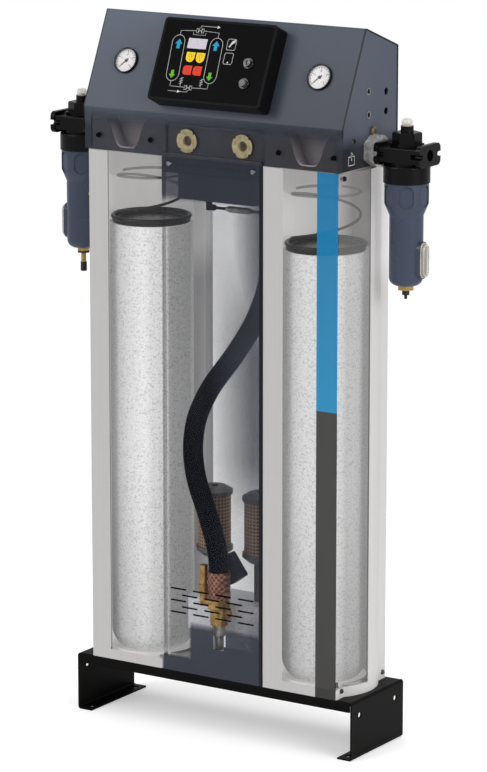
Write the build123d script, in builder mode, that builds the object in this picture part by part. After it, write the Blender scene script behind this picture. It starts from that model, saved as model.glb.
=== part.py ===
from build123d import *

import os
from math import acos, atan2, cos, pi, radians, sin, tan

# Twin-column desiccant air dryer. Millimetres, +Z up, +X to the right and -Y to the front.
# The origin is the middle of the floor bolt pattern, on the floor.

# Base: one sheet folded into a plate, two legs and two inward feet
base_width = 550.0
base_depth = 166.0
base_height = 100.0
base_sheet = 3.0
base_bend = 5.0
lip_height = 17.0
tab_width = 9.0
foot_width = 28.0
foot_hole_radius = 5.5
foot_hole_inset = 17.0
leg_hole_radius = 5.0
leg_hole_height = 74.0
leg_hole_spacing = 114.0

# Columns: one extrusion each, a round tube between a flat front and a flat back
column_pitch = 344.0
column_length = 876.0
column_depth = 160.0
column_face_width = 144.0
column_bulge_radius = 90.5
column_edge_radius = 3.0
bore_radius = 71.0
duct_inner_radius = 75.5
duct_outer_radius = 86.0
duct_half_height = 42.0
port_radius = 5.5
port_offset = 62.0
port_front_offset = 63.0
port_rear_offset = 69.0

# Screws, and the clearance round whatever stands in a hole without moving
screw_radius = 2.5
screw_head_radius = 4.6
screw_head_height = 2.8
screw_length = 12.0
screw_socket = 3.0
screw_head_taper = 20.0
lower_screw_height = 12.0
upper_screw_drop = 10.0
seat_gap = 0.3

# What fills the columns
cap_height = 16.0
cap_floor = 8.0
bed_wall_gap = 0.5
bed_round = 38.0
bed_space = {"left": 126.0, "right": 140.0}
ring_radius = 68.0
ring_rim = 3.5
ring_sheet = 2.5
ring_wall = 9.0
vent_radius = 4.0
vent_rings = 2
vent_ring_step = 20.0
spring_radius = 56.0
spring_wire = 4.6
spring_turns = 1.6
spring_end_turns = 0.7
spring_steps = 12

# Manifold on top of the columns
cap_block_height = 62.0
cap_block_front = 4.0
cap_block_corner = 10.0
casting_edge = 3.0
spigot_length = 43.0
spigot_gap = 0.4
dowel_length = 24.0
gallery_drop = 70.0
gallery_clearance = 22.0
gallery_front = 13.0
gallery_depth = 120.0
body_height = 54.0
body_depth = 90.0
apron_height = 26.0
scoop_width = 112.0
scoop_flank = ((1.0, 1.0), (0.68, 0.86), (0.46, 0.38), (0.24, 0.1))
scoop_depth = 30.0
scoop_shift = {"left": 2.0, "right": 11.0}
seat_pitch = 108.0
seat_height = 27.0
seat_radius = 19.5
seat_thickness = 8.0
seat_recess = 3.0
seat_bore_radius = 8.5
seat_notch = 4.0
seat_notches = 4
seat_lip = 4.0
chamber_radius = 15.0
chamber_length = 26.0
poppet_radius = 12.0
poppet_thickness = 4.0
poppet_travel = 5.0
stem_radius = 4.0
stem_length = 40.0
running_fit = 0.08
port_height = 28.0
port_setback = 9.0

# Sheet metal between the columns and round the head
sheet = 2.0
sheet_bend = 3.5
panel_gap = 1.5
panel_return = 12.0
panel_screw_inset = 18.0
panel_screw_drop = 11.0
slot_length = 32.0
slot_height = 3.0
slot_pitch = 44.7
slot_row_pitch = 20.4
slot_rows_height = 123.6
slot_columns = 4
slot_rows = 3
head_overhang = 8.0
head_front_gap = 1.0
head_front_height = 72.0
head_slope_run = 70.5
head_slope_rise = 155.0
head_depth = 172.0
head_rear_drop = 37.0
side_inset = 1.0
side_gap = 0.5
side_return = 12.0
side_bolt_setback = 34.0
side_bolt_height = 49.0
front_side_holes = ((80.0, 124.0), (81.0, 86.0))
front_side_hole_radius = 4.5
rear_side_holes = ((136.0, 118.0), (136.0, 86.0))
rear_side_hole_radius = 6.0
cover_screw_offset = 52.0
cover_screw_height = 25.0

# Control box on the slope
box_width = 218.0
box_height = 142.0
box_thickness = 33.0
box_wall = 3.0
box_corner = 7.0
box_edge = 1.5
box_up_slope = 83.5
cable_opening_width = 180.0
cable_opening_height = 100.0
film_border = 5.0
film_thickness = 0.8
film_gap = 0.3
window_width = 37.0
window_height = 18.0
window_x = -36.0
window_y = 29.0
lamp_width = 17.0
lamp_height = 16.0
lamp_pitch_x = 19.3
lamp_pitch_y = 22.8
lamp_x = -33.2
lamp_y = -5.5
lamp_emboss = 0.7
switch_x = 71.0
key_switch_y = 2.5
button_y = -31.5
bezel_radius = 9.5
bezel_height = 3.0
bezel_body_radius = 8.0
bezel_body_length = 14.0
bezel_floor = 2.0
plunger_radius = 6.4
rotor_height = 4.5
key_slot_length = 8.0
key_slot_width = 1.8
key_slot_depth = 3.0
button_height = 5.0
button_edge = 1.0
button_travel = 3.0

# Pressure gauges
gauge_outset = 16.0
gauge_up_slope = 82.5
gauge_case_radius = 20.0
gauge_bezel_radius = 22.0
gauge_bezel_height = 5.0
gauge_edge = 0.8
gauge_depth = 24.0
gauge_stem_radius = 6.0
gauge_stem_length = 12.0
gauge_dial_radius = 19.6
gauge_dial_height = 0.8
lens_ledge = 1.0
lens_thickness = 1.2
lens_sink = 0.2
needle_thickness = 0.6
needle_length = 15.0
needle_tail = 5.0
needle_width = 1.8
needle_lift = 0.6
needle_hub_radius = 2.6
needle_hub_height = 1.2
pin_radius = 1.0
zero_angle = 225.0

# Filters on both sides of the head
nipple_reach = 24.0
filter_half_length = 43.0
flange_half_width = 33.0
flange_half_height = 18.0
flange_corner = 9.0
flange_thickness = 8.0
flange_slot_width = 8.0
flange_slot_depth = 10.0
filter_port_radius = 9.5
filter_port_depth = 16.0
port_boss_radius = 16.0
skirt_radius = 38.0
skirt_height = 29.0
skirt_drop = 17.0
throat_radius = 30.0
arm_half_height = 12.0
arm_half_width = 31.0
arm_corner = 8.0
arm_edge = 2.0
bolt_room = 10.0
indicator_foot = 48.0
indicator_foot_height = 5.0
indicator_hex = 42.0
indicator_hex_height = 18.0
hexagon_turn = 30.0
collar_radius = 10.5
collar_height = 10.0
bowl_top_radius = 36.0
bowl_neck_radius = 33.0
bowl_neck_height = 20.0
bowl_body_radius = 27.7
bowl_wall = 3.0
bowl_grip_height = 34.0
bowl_taper_height = 20.0
bowl_length = 169.0
bowl_round = 14.0
grip_count = 6
grip_height = 36.0
grip_width = 24.0
grip_depth = 3.5
grip_drop = 21.0
dome_radius = 9.5
dome_height = 12.0
dome_wall = 1.5
dome_round = 6.0
piston_radius = 4.0
piston_length = 11.0
piston_show = 3.0
nipple_hex = 46.0
nipple_tube_radius = 13.0
nipple_thread_length = 14.0
sight_length = 55.0
sight_width = 19.0
sight_height = 30.0
sight_pad_out = 32.5
sight_border = 3.0
sight_out = 39.0
sight_edge = 2.0
drain_sizes = {"left": (19.0, 9.0, 4.25, 16.0, 5.35, 16.0), "right": (25.0, 7.0, 6.0, 8.5, 2.5, 7.0)}
drain_edge = 1.0

# Hose and valves between the columns. The hose's route is given as places across, places behind its
# foot, and shares of the columns' length
hose_radius = 17.0
hose_stand_off = 19.0
hose_route = (
    (0, 0, 0.234),
    (-19, 0, 0.304),
    (-46, 0, 0.379),
    (-56, 4, 0.436),
    (-53, 11, 0.495),
    (-32, 22, 0.555),
    (3, 40, 0.615),
    (36, 56, 0.683),
    (54, 70, 0.756),
    (56, 74, 0.829),
)
bend_share = 0.45
ferrule_radius = 19.2
ferrule_length = 46.0
ferrule_end = 3.0
ferrule_groove = 0.8
ferrule_groove_pitch = 9.0
ferrule_grooves = 3
elbow_hex = 36.0
elbow_hex_top = 133.0
elbow_hex_height = 17.0
elbow_radius = 15.0
elbow_barrel_radius = 13.5
elbow_height = 103.0
elbow_foot = 87.0
branch_x = -37.0
branch_stand_off = 9.0
branch_radius = 7.0
branch_arm_radius = 5.0
branch_bottom = 113.0
branch_top = 183.0
branch_cap_rise = 22.0
branch_cap_radius = 9.0
branch_cap_height = 14.0
check_radius = 11.3
check_length = 20.0
check_tail_radius = 8.3
check_tail_length = 23.0
check_edge = 2.0
block_half_depth = 38.0
block_bottom = 65.0
block_top = 122.0
block_corner = 6.0
block_leg_x = 58.0
block_leg_width = 24.0
block_leg_depth = 60.0
block_boss_radius = 15.0
block_boss_height = 90.0
silencer_x = 46.0
silencer_radius = 31.0
silencer_shoulder = 19.0
silencer_rim = 7.0
silencer_crown = 14.0
silencer_nose = 6.0
silencer_neck_radius = 11.0
silencer_neck_top = 189.0
silencer_cap_height = 17.0
silencer_rod_radius = 4.0
mesh_length = 90.0
mesh_radius = 27.5
mesh_wall = 1.5
coil_length = 47.0
coil_width = 33.0
coil_thickness = 20.0
coil_corner = 3.0
coil_x = 5.5
coil_forward = 27.0
coil_height = 178.5
coil_lean = -36.0
coil_tube_radius = 4.5
coil_tube_drop = 25.0
pilot_x = -45.0
pilot_forward = 17.0
pilot_drop = 19.0
pilot_hex = 12.0
pilot_nut_height = 10.0
pilot_elbow_radius = 5.0
pilot_elbow_reach = 12.0
pilot_tube_radius = 2.5
pilot_entry = 4.0
pilot_filter_radius = 5.5
pilot_filter_start = 35.0
pilot_filter_length = 49.0
pilot_filter_neck = 4.0
pilot_filter_neck_length = 5.0

os.makedirs("parts", exist_ok=True)

# Levels and faces that follow from the sizes above
column_bottom = base_height
column_top = column_bottom + column_length
column_front = -base_depth / 2
column_y = column_front + column_depth / 2
column_rear = column_y + column_depth / 2
column_x = column_pitch / 2
column_side = column_x + column_face_width / 2
gap_half_width = column_x - column_face_width / 2
gallery_half_width = gap_half_width - gallery_clearance
panel_screw_spacing = 2 * (gap_half_width - panel_screw_inset)
port_y = column_y + port_setback
pilot_y = column_y - pilot_forward
port_ys = (column_y - port_front_offset, column_y + port_rear_offset)
outer_port_x = column_x + port_offset
lower_screw_z = column_bottom + lower_screw_height
upper_screw_z = column_top - upper_screw_drop
bed_bottom = column_bottom + cap_floor
bed_radius = bore_radius - bed_wall_gap
bed_top = {side: column_top - space for side, space in bed_space.items()}
head_half_width = column_side + head_overhang
head_bottom = column_top
head_front = column_front - head_front_gap
head_rear = head_front + head_depth
fold_z = head_bottom + head_front_height
peak_y = head_front + head_slope_run
peak_z = fold_z + head_slope_rise
rear_z = peak_z - head_rear_drop
side_face = head_half_width - side_inset
side_bolt_y = head_front + side_bolt_setback
gauge_x = column_x + gauge_outset
flange_inner = side_face + nipple_reach
filter_x = flange_inner + filter_half_length
port_z = head_bottom + port_height
seat_z = head_bottom + seat_height
spigot_bottom = head_bottom - spigot_length
gallery_floor = head_bottom - gallery_drop
switch_places = ((switch_x, key_switch_y), (switch_x, button_y))
slope_angle = atan2(head_slope_rise, head_slope_run)
slope = Plane(
    origin=(0, head_front, fold_z),
    x_dir=(1, 0, 0),
    z_dir=(0, -sin(slope_angle), cos(slope_angle)),
)
slope_axis = Axis(slope.origin, slope.z_dir)
sides = (("left", -1), ("right", 1))


def on_slope(x, up, out=0):
    """A plane square to the head's slope, at a place on it."""
    return Plane(origin=slope.from_local_coords((x, up, out)), x_dir=slope.x_dir, z_dir=slope.z_dir)


def turning_plane(foot, along, across=(1, 0, 0)):
    """A plane on a turning axis: local x is the radius, local y runs along the axis from its foot."""
    return Plane(origin=foot, x_dir=across, z_dir=Vector(across).cross(Vector(along)))


with BuildPart() as base_frame:
    with BuildSketch(Plane.XZ) as leg_section:
        with Locations((0, base_height / 2)):
            RectangleRounded(base_width, base_height, base_bend)
            RectangleRounded(
                base_width - 2 * base_sheet,
                base_height - 2 * base_sheet,
                base_bend - base_sheet,
                mode=Mode.SUBTRACT,
            )
        Rectangle(base_width - 2 * foot_width, 4 * base_sheet, mode=Mode.SUBTRACT)
        with Locations((0, base_height)):
            Rectangle(base_width - 2 * base_bend, 4 * base_sheet, mode=Mode.SUBTRACT)
    extrude(amount=base_depth / 2, both=True)
    with BuildSketch(Plane.YZ) as plate_section:
        with BuildLine():
            Polyline(
                (-base_depth / 2, base_height - lip_height),
                (-base_depth / 2, base_height),
                (base_depth / 2, base_height),
                (base_depth / 2, base_height - lip_height),
                close=True,
            )
        make_face()
        fillet(plate_section.vertices().group_by(Axis.Y)[-1], radius=base_sheet)
        with Locations((0, base_height - base_sheet)):
            Rectangle(
                base_depth - 2 * base_sheet,
                lip_height,
                align=(Align.CENTER, Align.MAX),
                mode=Mode.SUBTRACT,
            )
    extrude(amount=base_width / 2 - base_bend, both=True)
    with BuildSketch(Plane.YZ) as leg_holes:
        with Locations((0, leg_hole_height)):
            with GridLocations(leg_hole_spacing, 1, 2, 1):
                Circle(leg_hole_radius)
    extrude(amount=base_width, both=True, mode=Mode.SUBTRACT)
    with BuildSketch() as foot_holes:
        with GridLocations(base_width - 2 * foot_hole_inset, base_depth - 2 * foot_hole_inset, 2, 2):
            Circle(foot_hole_radius)
    extrude(amount=2 * base_sheet, mode=Mode.SUBTRACT)
    # Locating tabs, lanced out of the plate, stand in the outer corner ports of the columns
    tab_foot = base_height - base_sheet
    with Locations(*[(sx * outer_port_x, y, tab_foot) for side, sx in sides for y in port_ys]):
        Box(
            base_sheet,
            tab_width,
            base_sheet + 2 * lower_screw_height,
            align=(Align.CENTER, Align.CENTER, Align.MIN),
        )
    with BuildSketch(Plane.YZ) as tab_holes:
        with Locations(*[(y, lower_screw_z) for y in port_ys]):
            Circle(screw_radius + seat_gap)
    extrude(amount=column_side, both=True, mode=Mode.SUBTRACT)
base_frame.part.label = "base_frame"
export_step(base_frame.part, "parts/base_frame.step")

for side, sx in sides:
    with BuildPart() as column:
        with BuildSketch(Plane.XY.offset(column_bottom)) as column_section:
            with Locations((sx * column_x, column_y)):
                Circle(column_bulge_radius)
                Rectangle(3 * column_bulge_radius, column_depth, mode=Mode.INTERSECT)
                Rectangle(column_face_width, column_depth)
            fillet(column_section.vertices(), radius=column_edge_radius)
            with Locations((sx * column_x, column_y)):
                Circle(bore_radius, mode=Mode.SUBTRACT)
            with Locations(*[(sx * column_x + dx, y) for dx in (-port_offset, port_offset) for y in port_ys]):
                Circle(port_radius, mode=Mode.SUBTRACT)
        extrude(amount=column_length)
        # Side ducts lead the air past the bed
        with BuildSketch(Plane.XY.offset(column_bottom)) as duct_section:
            with Locations((sx * column_x, column_y)):
                Circle(duct_outer_radius)
                Circle(duct_inner_radius, mode=Mode.SUBTRACT)
                Rectangle(3 * duct_outer_radius, 2 * duct_half_height, mode=Mode.INTERSECT)
        extrude(amount=column_length, mode=Mode.SUBTRACT)
        with BuildSketch(Plane.YZ.offset(sx * outer_port_x)) as screw_holes:
            with Locations(*[(y, z) for y in port_ys for z in (lower_screw_z, upper_screw_z)]):
                Circle(screw_radius + seat_gap)
        extrude(amount=sx * column_face_width / 2, mode=Mode.SUBTRACT)
        if side == "right":
            with BuildSketch(Plane.YZ) as pilot_hole:
                with Locations((pilot_y, gallery_floor - pilot_drop)):
                    Circle(pilot_tube_radius + seat_gap)
            extrude(amount=column_x - bore_radius - seat_gap, mode=Mode.SUBTRACT)
    column.part.label = f"column_{side}"
    export_step(column.part, f"parts/column_{side}.step")

# The cap's dish follows the round bottom of the bed that stands in it
dish_round = bed_round + seat_gap
dish_flat = bed_radius - bed_round
dish_angle = acos(1 - (cap_height - cap_floor) / dish_round)


def dish_point(angle):
    """A point of the dish's round edge, as radius and height above the cap's foot."""
    return (dish_flat + dish_round * sin(angle), cap_floor + dish_round * (1 - cos(angle)))


for side, sx in sides:
    foot = (sx * column_x, column_y, column_bottom)
    with BuildPart() as bottom_cap:
        with BuildSketch(turning_plane(foot, (0, 0, 1))) as cap_section:
            with BuildLine() as cap_outline:
                Polyline(
                    (0, cap_floor),
                    (0, 0),
                    (bore_radius - seat_gap, 0),
                    (bore_radius - seat_gap, cap_height),
                    dish_point(dish_angle),
                )
                ThreePointArc(dish_point(dish_angle), dish_point(dish_angle / 2), dish_point(0))
                Line(dish_point(0), (0, cap_floor))
            make_face()
        revolve(axis=Axis(foot, (0, 0, 1)))
    bottom_cap.part.label = f"bottom_cap_{side}"
    export_step(bottom_cap.part, f"parts/bottom_cap_{side}.step")

# Each bed is a bag of beads with a round bottom
for side, sx in sides:
    with BuildPart(Plane.XY.offset(bed_bottom)) as desiccant_bed:
        with Locations((sx * column_x, column_y)):
            Cylinder(bed_radius, bed_top[side] - bed_bottom, align=(Align.CENTER, Align.CENTER, Align.MIN))
        fillet(desiccant_bed.edges().filter_by(GeomType.CIRCLE).group_by(Axis.Z)[0], radius=bed_round)
    desiccant_bed.part.label = f"desiccant_bed_{side}"
    export_step(desiccant_bed.part, f"parts/desiccant_bed_{side}.step")

# Retainer: a plate on the beads that turns up into a rolled rim, with rings of vent holes inside the spring
for side, sx in sides:
    foot = (sx * column_x, column_y, bed_top[side])
    rim_middle = ring_radius - ring_rim
    with BuildPart() as retainer_ring:
        with BuildSketch(turning_plane(foot, (0, 0, 1))) as ring_section:
            with Locations((rim_middle, ring_wall)):
                Circle(ring_rim)
            with Locations((rim_middle, 0)):
                Rectangle(ring_sheet, ring_wall, align=(Align.CENTER, Align.MIN))
                Rectangle(rim_middle, ring_sheet, align=(Align.MAX, Align.MIN))
        revolve(axis=Axis(foot, (0, 0, 1)))
        with BuildSketch(Plane(foot)) as vents:
            for ring in range(1, vent_rings + 1):
                with PolarLocations(ring * vent_ring_step, 6 * ring):
                    Circle(vent_radius)
        extrude(amount=ring_sheet, mode=Mode.SUBTRACT)
    retainer_ring.part.label = f"retainer_ring_{side}"
    export_step(retainer_ring.part, f"parts/retainer_ring_{side}.step")

spring_half_turns = spring_turns / 2 + spring_end_turns


def spring_point(turn, low, high):
    """A place on a compression spring that rises smoothly between two flat end coils."""
    share = min(max((turn + spring_turns / 2) / spring_turns, 0), 1)
    rise = share * share * (3 - 2 * share)
    return (
        spring_radius * cos(2 * pi * turn),
        spring_radius * sin(2 * pi * turn),
        low + (high - low) * rise,
    )


for side, sx in sides:
    spring_low = bed_top[side] + ring_sheet + spring_wire / 2
    spring_high = spigot_bottom - spring_wire / 2
    with BuildPart() as bed_spring:
        with BuildLine() as spring_line:
            step_count = round(2 * spring_half_turns * spring_steps)
            steps = [spring_half_turns * (2 * step / step_count - 1) for step in range(step_count + 1)]
            places = [Vector(*spring_point(turn, spring_low, spring_high)) for turn in steps]
            Spline(*[place + Vector(sx * column_x, column_y, 0) for place in places])
        with BuildSketch(Plane(origin=spring_line.line @ 0, z_dir=spring_line.line % 0)) as wire_section:
            Circle(spring_wire / 2)
        sweep(path=spring_line.line, is_frenet=True)
    bed_spring.part.label = f"bed_spring_{side}"
    export_step(bed_spring.part, f"parts/bed_spring_{side}.step")

# Cast manifold: a cap on each column, a valve body between them and a gallery below it
cap_width = 2 * (side_face - sheet - column_x)
cap_front = column_front + cap_block_front
cap_depth = column_depth - cap_block_front - casting_edge
valve_front = cap_front + seat_thickness + seat_recess
with BuildPart() as top_manifold:
    with BuildSketch(Plane.XY.offset(head_bottom)) as cap_blocks:
        with Locations(*[(sx * column_x, cap_front + cap_depth / 2) for side, sx in sides]):
            RectangleRounded(cap_width, cap_depth, cap_block_corner)
    extrude(amount=cap_block_height)
    fillet(top_manifold.edges().group_by(Axis.Z)[-1], radius=casting_edge)
    with BuildSketch(Plane.YZ) as body_section:
        with Locations((valve_front + body_depth / 2, head_bottom + body_height / 2)):
            RectangleRounded(body_depth, body_height, casting_edge)
    extrude(amount=column_x - cap_width / 2 + casting_edge, both=True)
    with BuildSketch(Plane.XY.offset(gallery_floor)) as gallery_section:
        with Locations((0, column_front + gallery_front + gallery_depth / 2)):
            RectangleRounded(2 * gallery_half_width, gallery_depth, cap_block_corner)
    extrude(amount=gallery_drop + 2 * casting_edge)
    # Aprons behind the tops of the front and rear panels take their screws
    apron_width = 2 * (gap_half_width - panel_gap - sheet - seat_gap)
    with BuildSketch(Plane.XY.offset(head_bottom - apron_height)) as aprons:
        with Locations((0, column_front + sheet)):
            Rectangle(apron_width, gallery_front + casting_edge, align=(Align.CENTER, Align.MIN))
        rear_apron = column_depth - gallery_front - gallery_depth
        with Locations((0, column_rear - sheet)):
            Rectangle(apron_width, rear_apron, align=(Align.CENTER, Align.MAX))
    extrude(amount=apron_height + 2 * casting_edge)
    # Spigots stand in the bores and dowels in the outer corner ports
    with BuildSketch(Plane.XY.offset(head_bottom)) as spigots:
        with Locations(*[(sx * column_x, column_y) for side, sx in sides]):
            Circle(bore_radius - spigot_gap)
    extrude(amount=-spigot_length)
    with BuildSketch(Plane.XY.offset(head_bottom)) as dowels:
        with Locations(*[(sx * outer_port_x, y) for side, sx in sides for y in port_ys]):
            Circle(port_radius - seat_gap)
    extrude(amount=-dowel_length)
    # Open scoop in the front of each cap, flared at the top
    with BuildSketch(Plane.XZ.offset(-cap_front)) as scoops:
        for side, sx in sides:
            flank = [(x * scoop_width / 2, head_bottom + z * cap_block_height) for x, z in scoop_flank]
            scoop_x = sx * column_x + scoop_shift[side]
            left_flank = [(scoop_x - x, z) for x, z in flank]
            right_flank = [(scoop_x + x, z) for x, z in flank]
            with BuildLine() as scoop_outline:
                Spline(*left_flank)
                Spline(*right_flank)
                Line(left_flank[0], right_flank[0])
                Line(left_flank[-1], right_flank[-1])
            make_face()
    extrude(amount=-scoop_depth, mode=Mode.SUBTRACT)
    # Recesses of the valve seats, their chambers and the guides of the poppets' stems
    guide_depth = seat_recess + poppet_thickness + stem_length + poppet_travel + seat_gap
    for hole_radius, depth in (
        (seat_radius + seat_gap, seat_recess),
        (chamber_radius, seat_recess + chamber_length),
        (stem_radius + running_fit, guide_depth),
    ):
        with BuildSketch(Plane.XZ.offset(-valve_front)) as valve_bore:
            with Locations((0, seat_z)):
                with GridLocations(seat_pitch, 1, 2, 1):
                    Circle(hole_radius)
        extrude(amount=-depth, mode=Mode.SUBTRACT)
    for side, sx in sides:
        # Socket of the filter's nipple, and holes of the screws
        with BuildSketch(Plane.YZ.offset(sx * (side_face - sheet))) as nipple_socket:
            with Locations((port_y, port_z)):
                Circle(nipple_tube_radius + seat_gap)
        extrude(amount=-sx * nipple_thread_length, mode=Mode.SUBTRACT)
        with BuildSketch(Plane.YZ.offset(sx * (side_face - sheet))) as bolt_socket:
            with Locations((side_bolt_y, head_bottom + side_bolt_height)):
                Circle(screw_radius + seat_gap)
        extrude(amount=-sx * screw_length, mode=Mode.SUBTRACT)
        with BuildSketch(Plane.YZ.offset(sx * (outer_port_x - screw_radius))) as dowel_holes:
            with Locations(*[(y, upper_screw_z) for y in port_ys]):
                Circle(screw_radius + seat_gap)
        extrude(amount=sx * 2 * port_radius, mode=Mode.SUBTRACT)
        with BuildSketch(Plane.XZ.offset(-head_front)) as cover_screw_holes:
            with Locations((sx * column_x + scoop_shift[side], head_bottom + cover_screw_height)):
                with GridLocations(2 * cover_screw_offset, 1, 2, 1):
                    Circle(screw_radius + seat_gap)
        extrude(amount=-2 * screw_length, mode=Mode.SUBTRACT)
    for panel_y, inward in ((column_front, 1), (column_rear, -1)):
        with BuildSketch(Plane.XZ.offset(-panel_y)) as apron_holes:
            with Locations((0, head_bottom - panel_screw_drop)):
                with GridLocations(panel_screw_spacing, 1, 2, 1):
                    Circle(screw_radius + seat_gap)
        extrude(amount=-inward * (screw_length + seat_gap), mode=Mode.SUBTRACT)
top_manifold.part.label = "top_manifold"
export_step(top_manifold.part, "parts/top_manifold.step")

for side, sx in sides:
    foot = (sx * seat_pitch / 2, valve_front + seat_recess, seat_z)
    with BuildPart() as valve_seat:
        with BuildSketch(turning_plane(foot, (0, -1, 0))) as seat_section:
            with BuildLine() as seat_outline:
                Polyline(
                    (seat_bore_radius, 0),
                    (seat_radius, 0),
                    (seat_radius, seat_thickness),
                    (seat_radius - seat_lip, seat_thickness),
                    (seat_bore_radius + seat_lip, seat_thickness - seat_lip / 2),
                    (seat_bore_radius, seat_thickness - seat_lip / 2),
                    close=True,
                )
            make_face()
        revolve(axis=Axis(foot, (0, 1, 0)))
        with BuildSketch(Plane.XZ.offset(seat_thickness - valve_front - seat_recess)) as notches:
            with Locations((sx * seat_pitch / 2, seat_z)):
                with PolarLocations(seat_radius, seat_notches, start_angle=180 / seat_notches):
                    Rectangle(seat_notch, seat_notch)
        extrude(amount=-seat_notch, mode=Mode.SUBTRACT)
    valve_seat.part.label = f"valve_seat_{side}"
    export_step(valve_seat.part, f"parts/valve_seat_{side}.step")

for side, sx in sides:
    foot = (sx * seat_pitch / 2, valve_front + seat_recess + running_fit, seat_z)
    with BuildPart() as valve_poppet:
        with BuildSketch(turning_plane(foot, (0, 1, 0))) as poppet_section:
            with BuildLine() as poppet_outline:
                Polyline(
                    (0, 0),
                    (poppet_radius, 0),
                    (poppet_radius, poppet_thickness),
                    (stem_radius, poppet_thickness),
                    (stem_radius, poppet_thickness + stem_length),
                    (0, poppet_thickness + stem_length),
                    close=True,
                )
            make_face()
        revolve(axis=Axis(foot, (0, 1, 0)))
    valve_poppet.part.label = f"valve_poppet_{side}"
    export_step(valve_poppet.part, f"parts/valve_poppet_{side}.step")

# Front and rear panels: trays between the columns, the front one with rows of louvre slots
panel_half_width = gap_half_width - panel_gap
panel_places = (("front", column_front, 1), ("rear", column_rear, -1))
for place, panel_y, inward in panel_places:
    with BuildPart() as panel:
        with BuildSketch(Plane.XY.offset(column_bottom)) as panel_section:
            with Locations((0, panel_y + inward * panel_return / 2)):
                Rectangle(2 * panel_half_width, panel_return)
            outer_corners = panel_section.vertices().sort_by(Axis.Y)
            fillet(outer_corners[:2] if inward > 0 else outer_corners[2:], radius=sheet_bend)
            with Locations((0, panel_y + inward * (sheet + panel_return / 2))):
                Rectangle(2 * (panel_half_width - sheet), panel_return, mode=Mode.SUBTRACT)
        extrude(amount=column_length)
        with BuildSketch(Plane.XZ.offset(-panel_y)) as screw_holes:
            with Locations((0, head_bottom - panel_screw_drop)):
                with GridLocations(panel_screw_spacing, 1, 2, 1):
                    Circle(screw_radius + seat_gap)
        extrude(amount=-inward * sheet, mode=Mode.SUBTRACT)
        if place == "front":
            with BuildSketch(Plane.XZ.offset(-panel_y)) as louvres:
                with Locations((0, column_bottom + slot_rows_height)):
                    with GridLocations(slot_pitch, slot_row_pitch, slot_columns, slot_rows):
                        SlotOverall(slot_length, slot_height)
                    with GridLocations(slot_pitch, slot_row_pitch, slot_columns - 1, slot_rows - 1):
                        SlotOverall(slot_length, slot_height)
            extrude(amount=-inward * sheet, mode=Mode.SUBTRACT)
    panel.part.label = f"{place}_panel"
    export_step(panel.part, f"parts/{place}_panel.step")

# Head: a cover folded from one sheet, closed at each end by a pan set inside it
with BuildSketch() as head_outline:
    with BuildLine():
        Polyline(
            (head_front, head_bottom),
            (head_front, fold_z),
            (peak_y, peak_z),
            (head_rear, rear_z),
            (head_rear, head_bottom),
            close=True,
        )
    make_face()
    fillet(head_outline.vertices().group_by(Axis.Y)[1:], radius=sheet_bend)
with BuildPart() as head_cover:
    with BuildSketch(Plane.YZ) as cover_section:
        add(head_outline.sketch)
        offset(amount=-sheet, mode=Mode.SUBTRACT)
        with Locations(((head_front + head_rear) / 2, head_bottom)):
            Rectangle(head_depth - 2 * sheet, 4 * sheet, mode=Mode.SUBTRACT)
    extrude(amount=head_half_width, both=True)
    with BuildSketch(slope) as slope_holes:
        with Locations((0, gauge_up_slope)):
            with GridLocations(2 * gauge_x, 1, 2, 1):
                Circle(gauge_case_radius + seat_gap)
        with Locations((0, box_up_slope)):
            RectangleRounded(cable_opening_width, cable_opening_height, box_corner)
    extrude(amount=-2 * sheet, mode=Mode.SUBTRACT)
    with BuildSketch(Plane.XZ.offset(-head_front)) as cover_holes:
        for side, sx in sides:
            with Locations((sx * column_x + scoop_shift[side], head_bottom + cover_screw_height)):
                with GridLocations(2 * cover_screw_offset, 1, 2, 1):
                    Circle(screw_radius + seat_gap)
    extrude(amount=-2 * sheet, mode=Mode.SUBTRACT)
head_cover.part.label = "head_cover"
export_step(head_cover.part, "parts/head_cover.step")

for side, sx in sides:
    with BuildPart() as head_side:
        with BuildSketch(Plane.YZ.offset(sx * side_face)) as side_plate:
            add(head_outline.sketch)
            offset(amount=-sheet - side_gap)
        extrude(amount=-sx * sheet)
        with BuildSketch(Plane.YZ.offset(sx * side_face)) as side_rim:
            add(head_outline.sketch)
            offset(amount=-sheet - side_gap)
            offset(amount=-sheet, mode=Mode.SUBTRACT)
            with Locations(((head_front + head_rear) / 2, head_bottom)):
                Rectangle(head_depth - 4 * sheet - 2 * side_gap, 6 * sheet, mode=Mode.SUBTRACT)
        extrude(amount=-sx * side_return)
        with BuildSketch(Plane.YZ.offset(sx * side_face)) as side_openings:
            with Locations((port_y, port_z)):
                Circle(nipple_tube_radius + seat_gap)
            with Locations((side_bolt_y, head_bottom + side_bolt_height)):
                Circle(screw_radius + seat_gap)
            with Locations(*[(head_front + run, head_bottom + rise) for run, rise in front_side_holes]):
                Circle(front_side_hole_radius)
            with Locations(*[(head_front + run, head_bottom + rise) for run, rise in rear_side_holes]):
                Circle(rear_side_hole_radius)
        extrude(amount=-sx * sheet, mode=Mode.SUBTRACT)
    head_side.part.label = f"head_side_{side}"
    export_step(head_side.part, f"parts/head_side_{side}.step")

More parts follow.
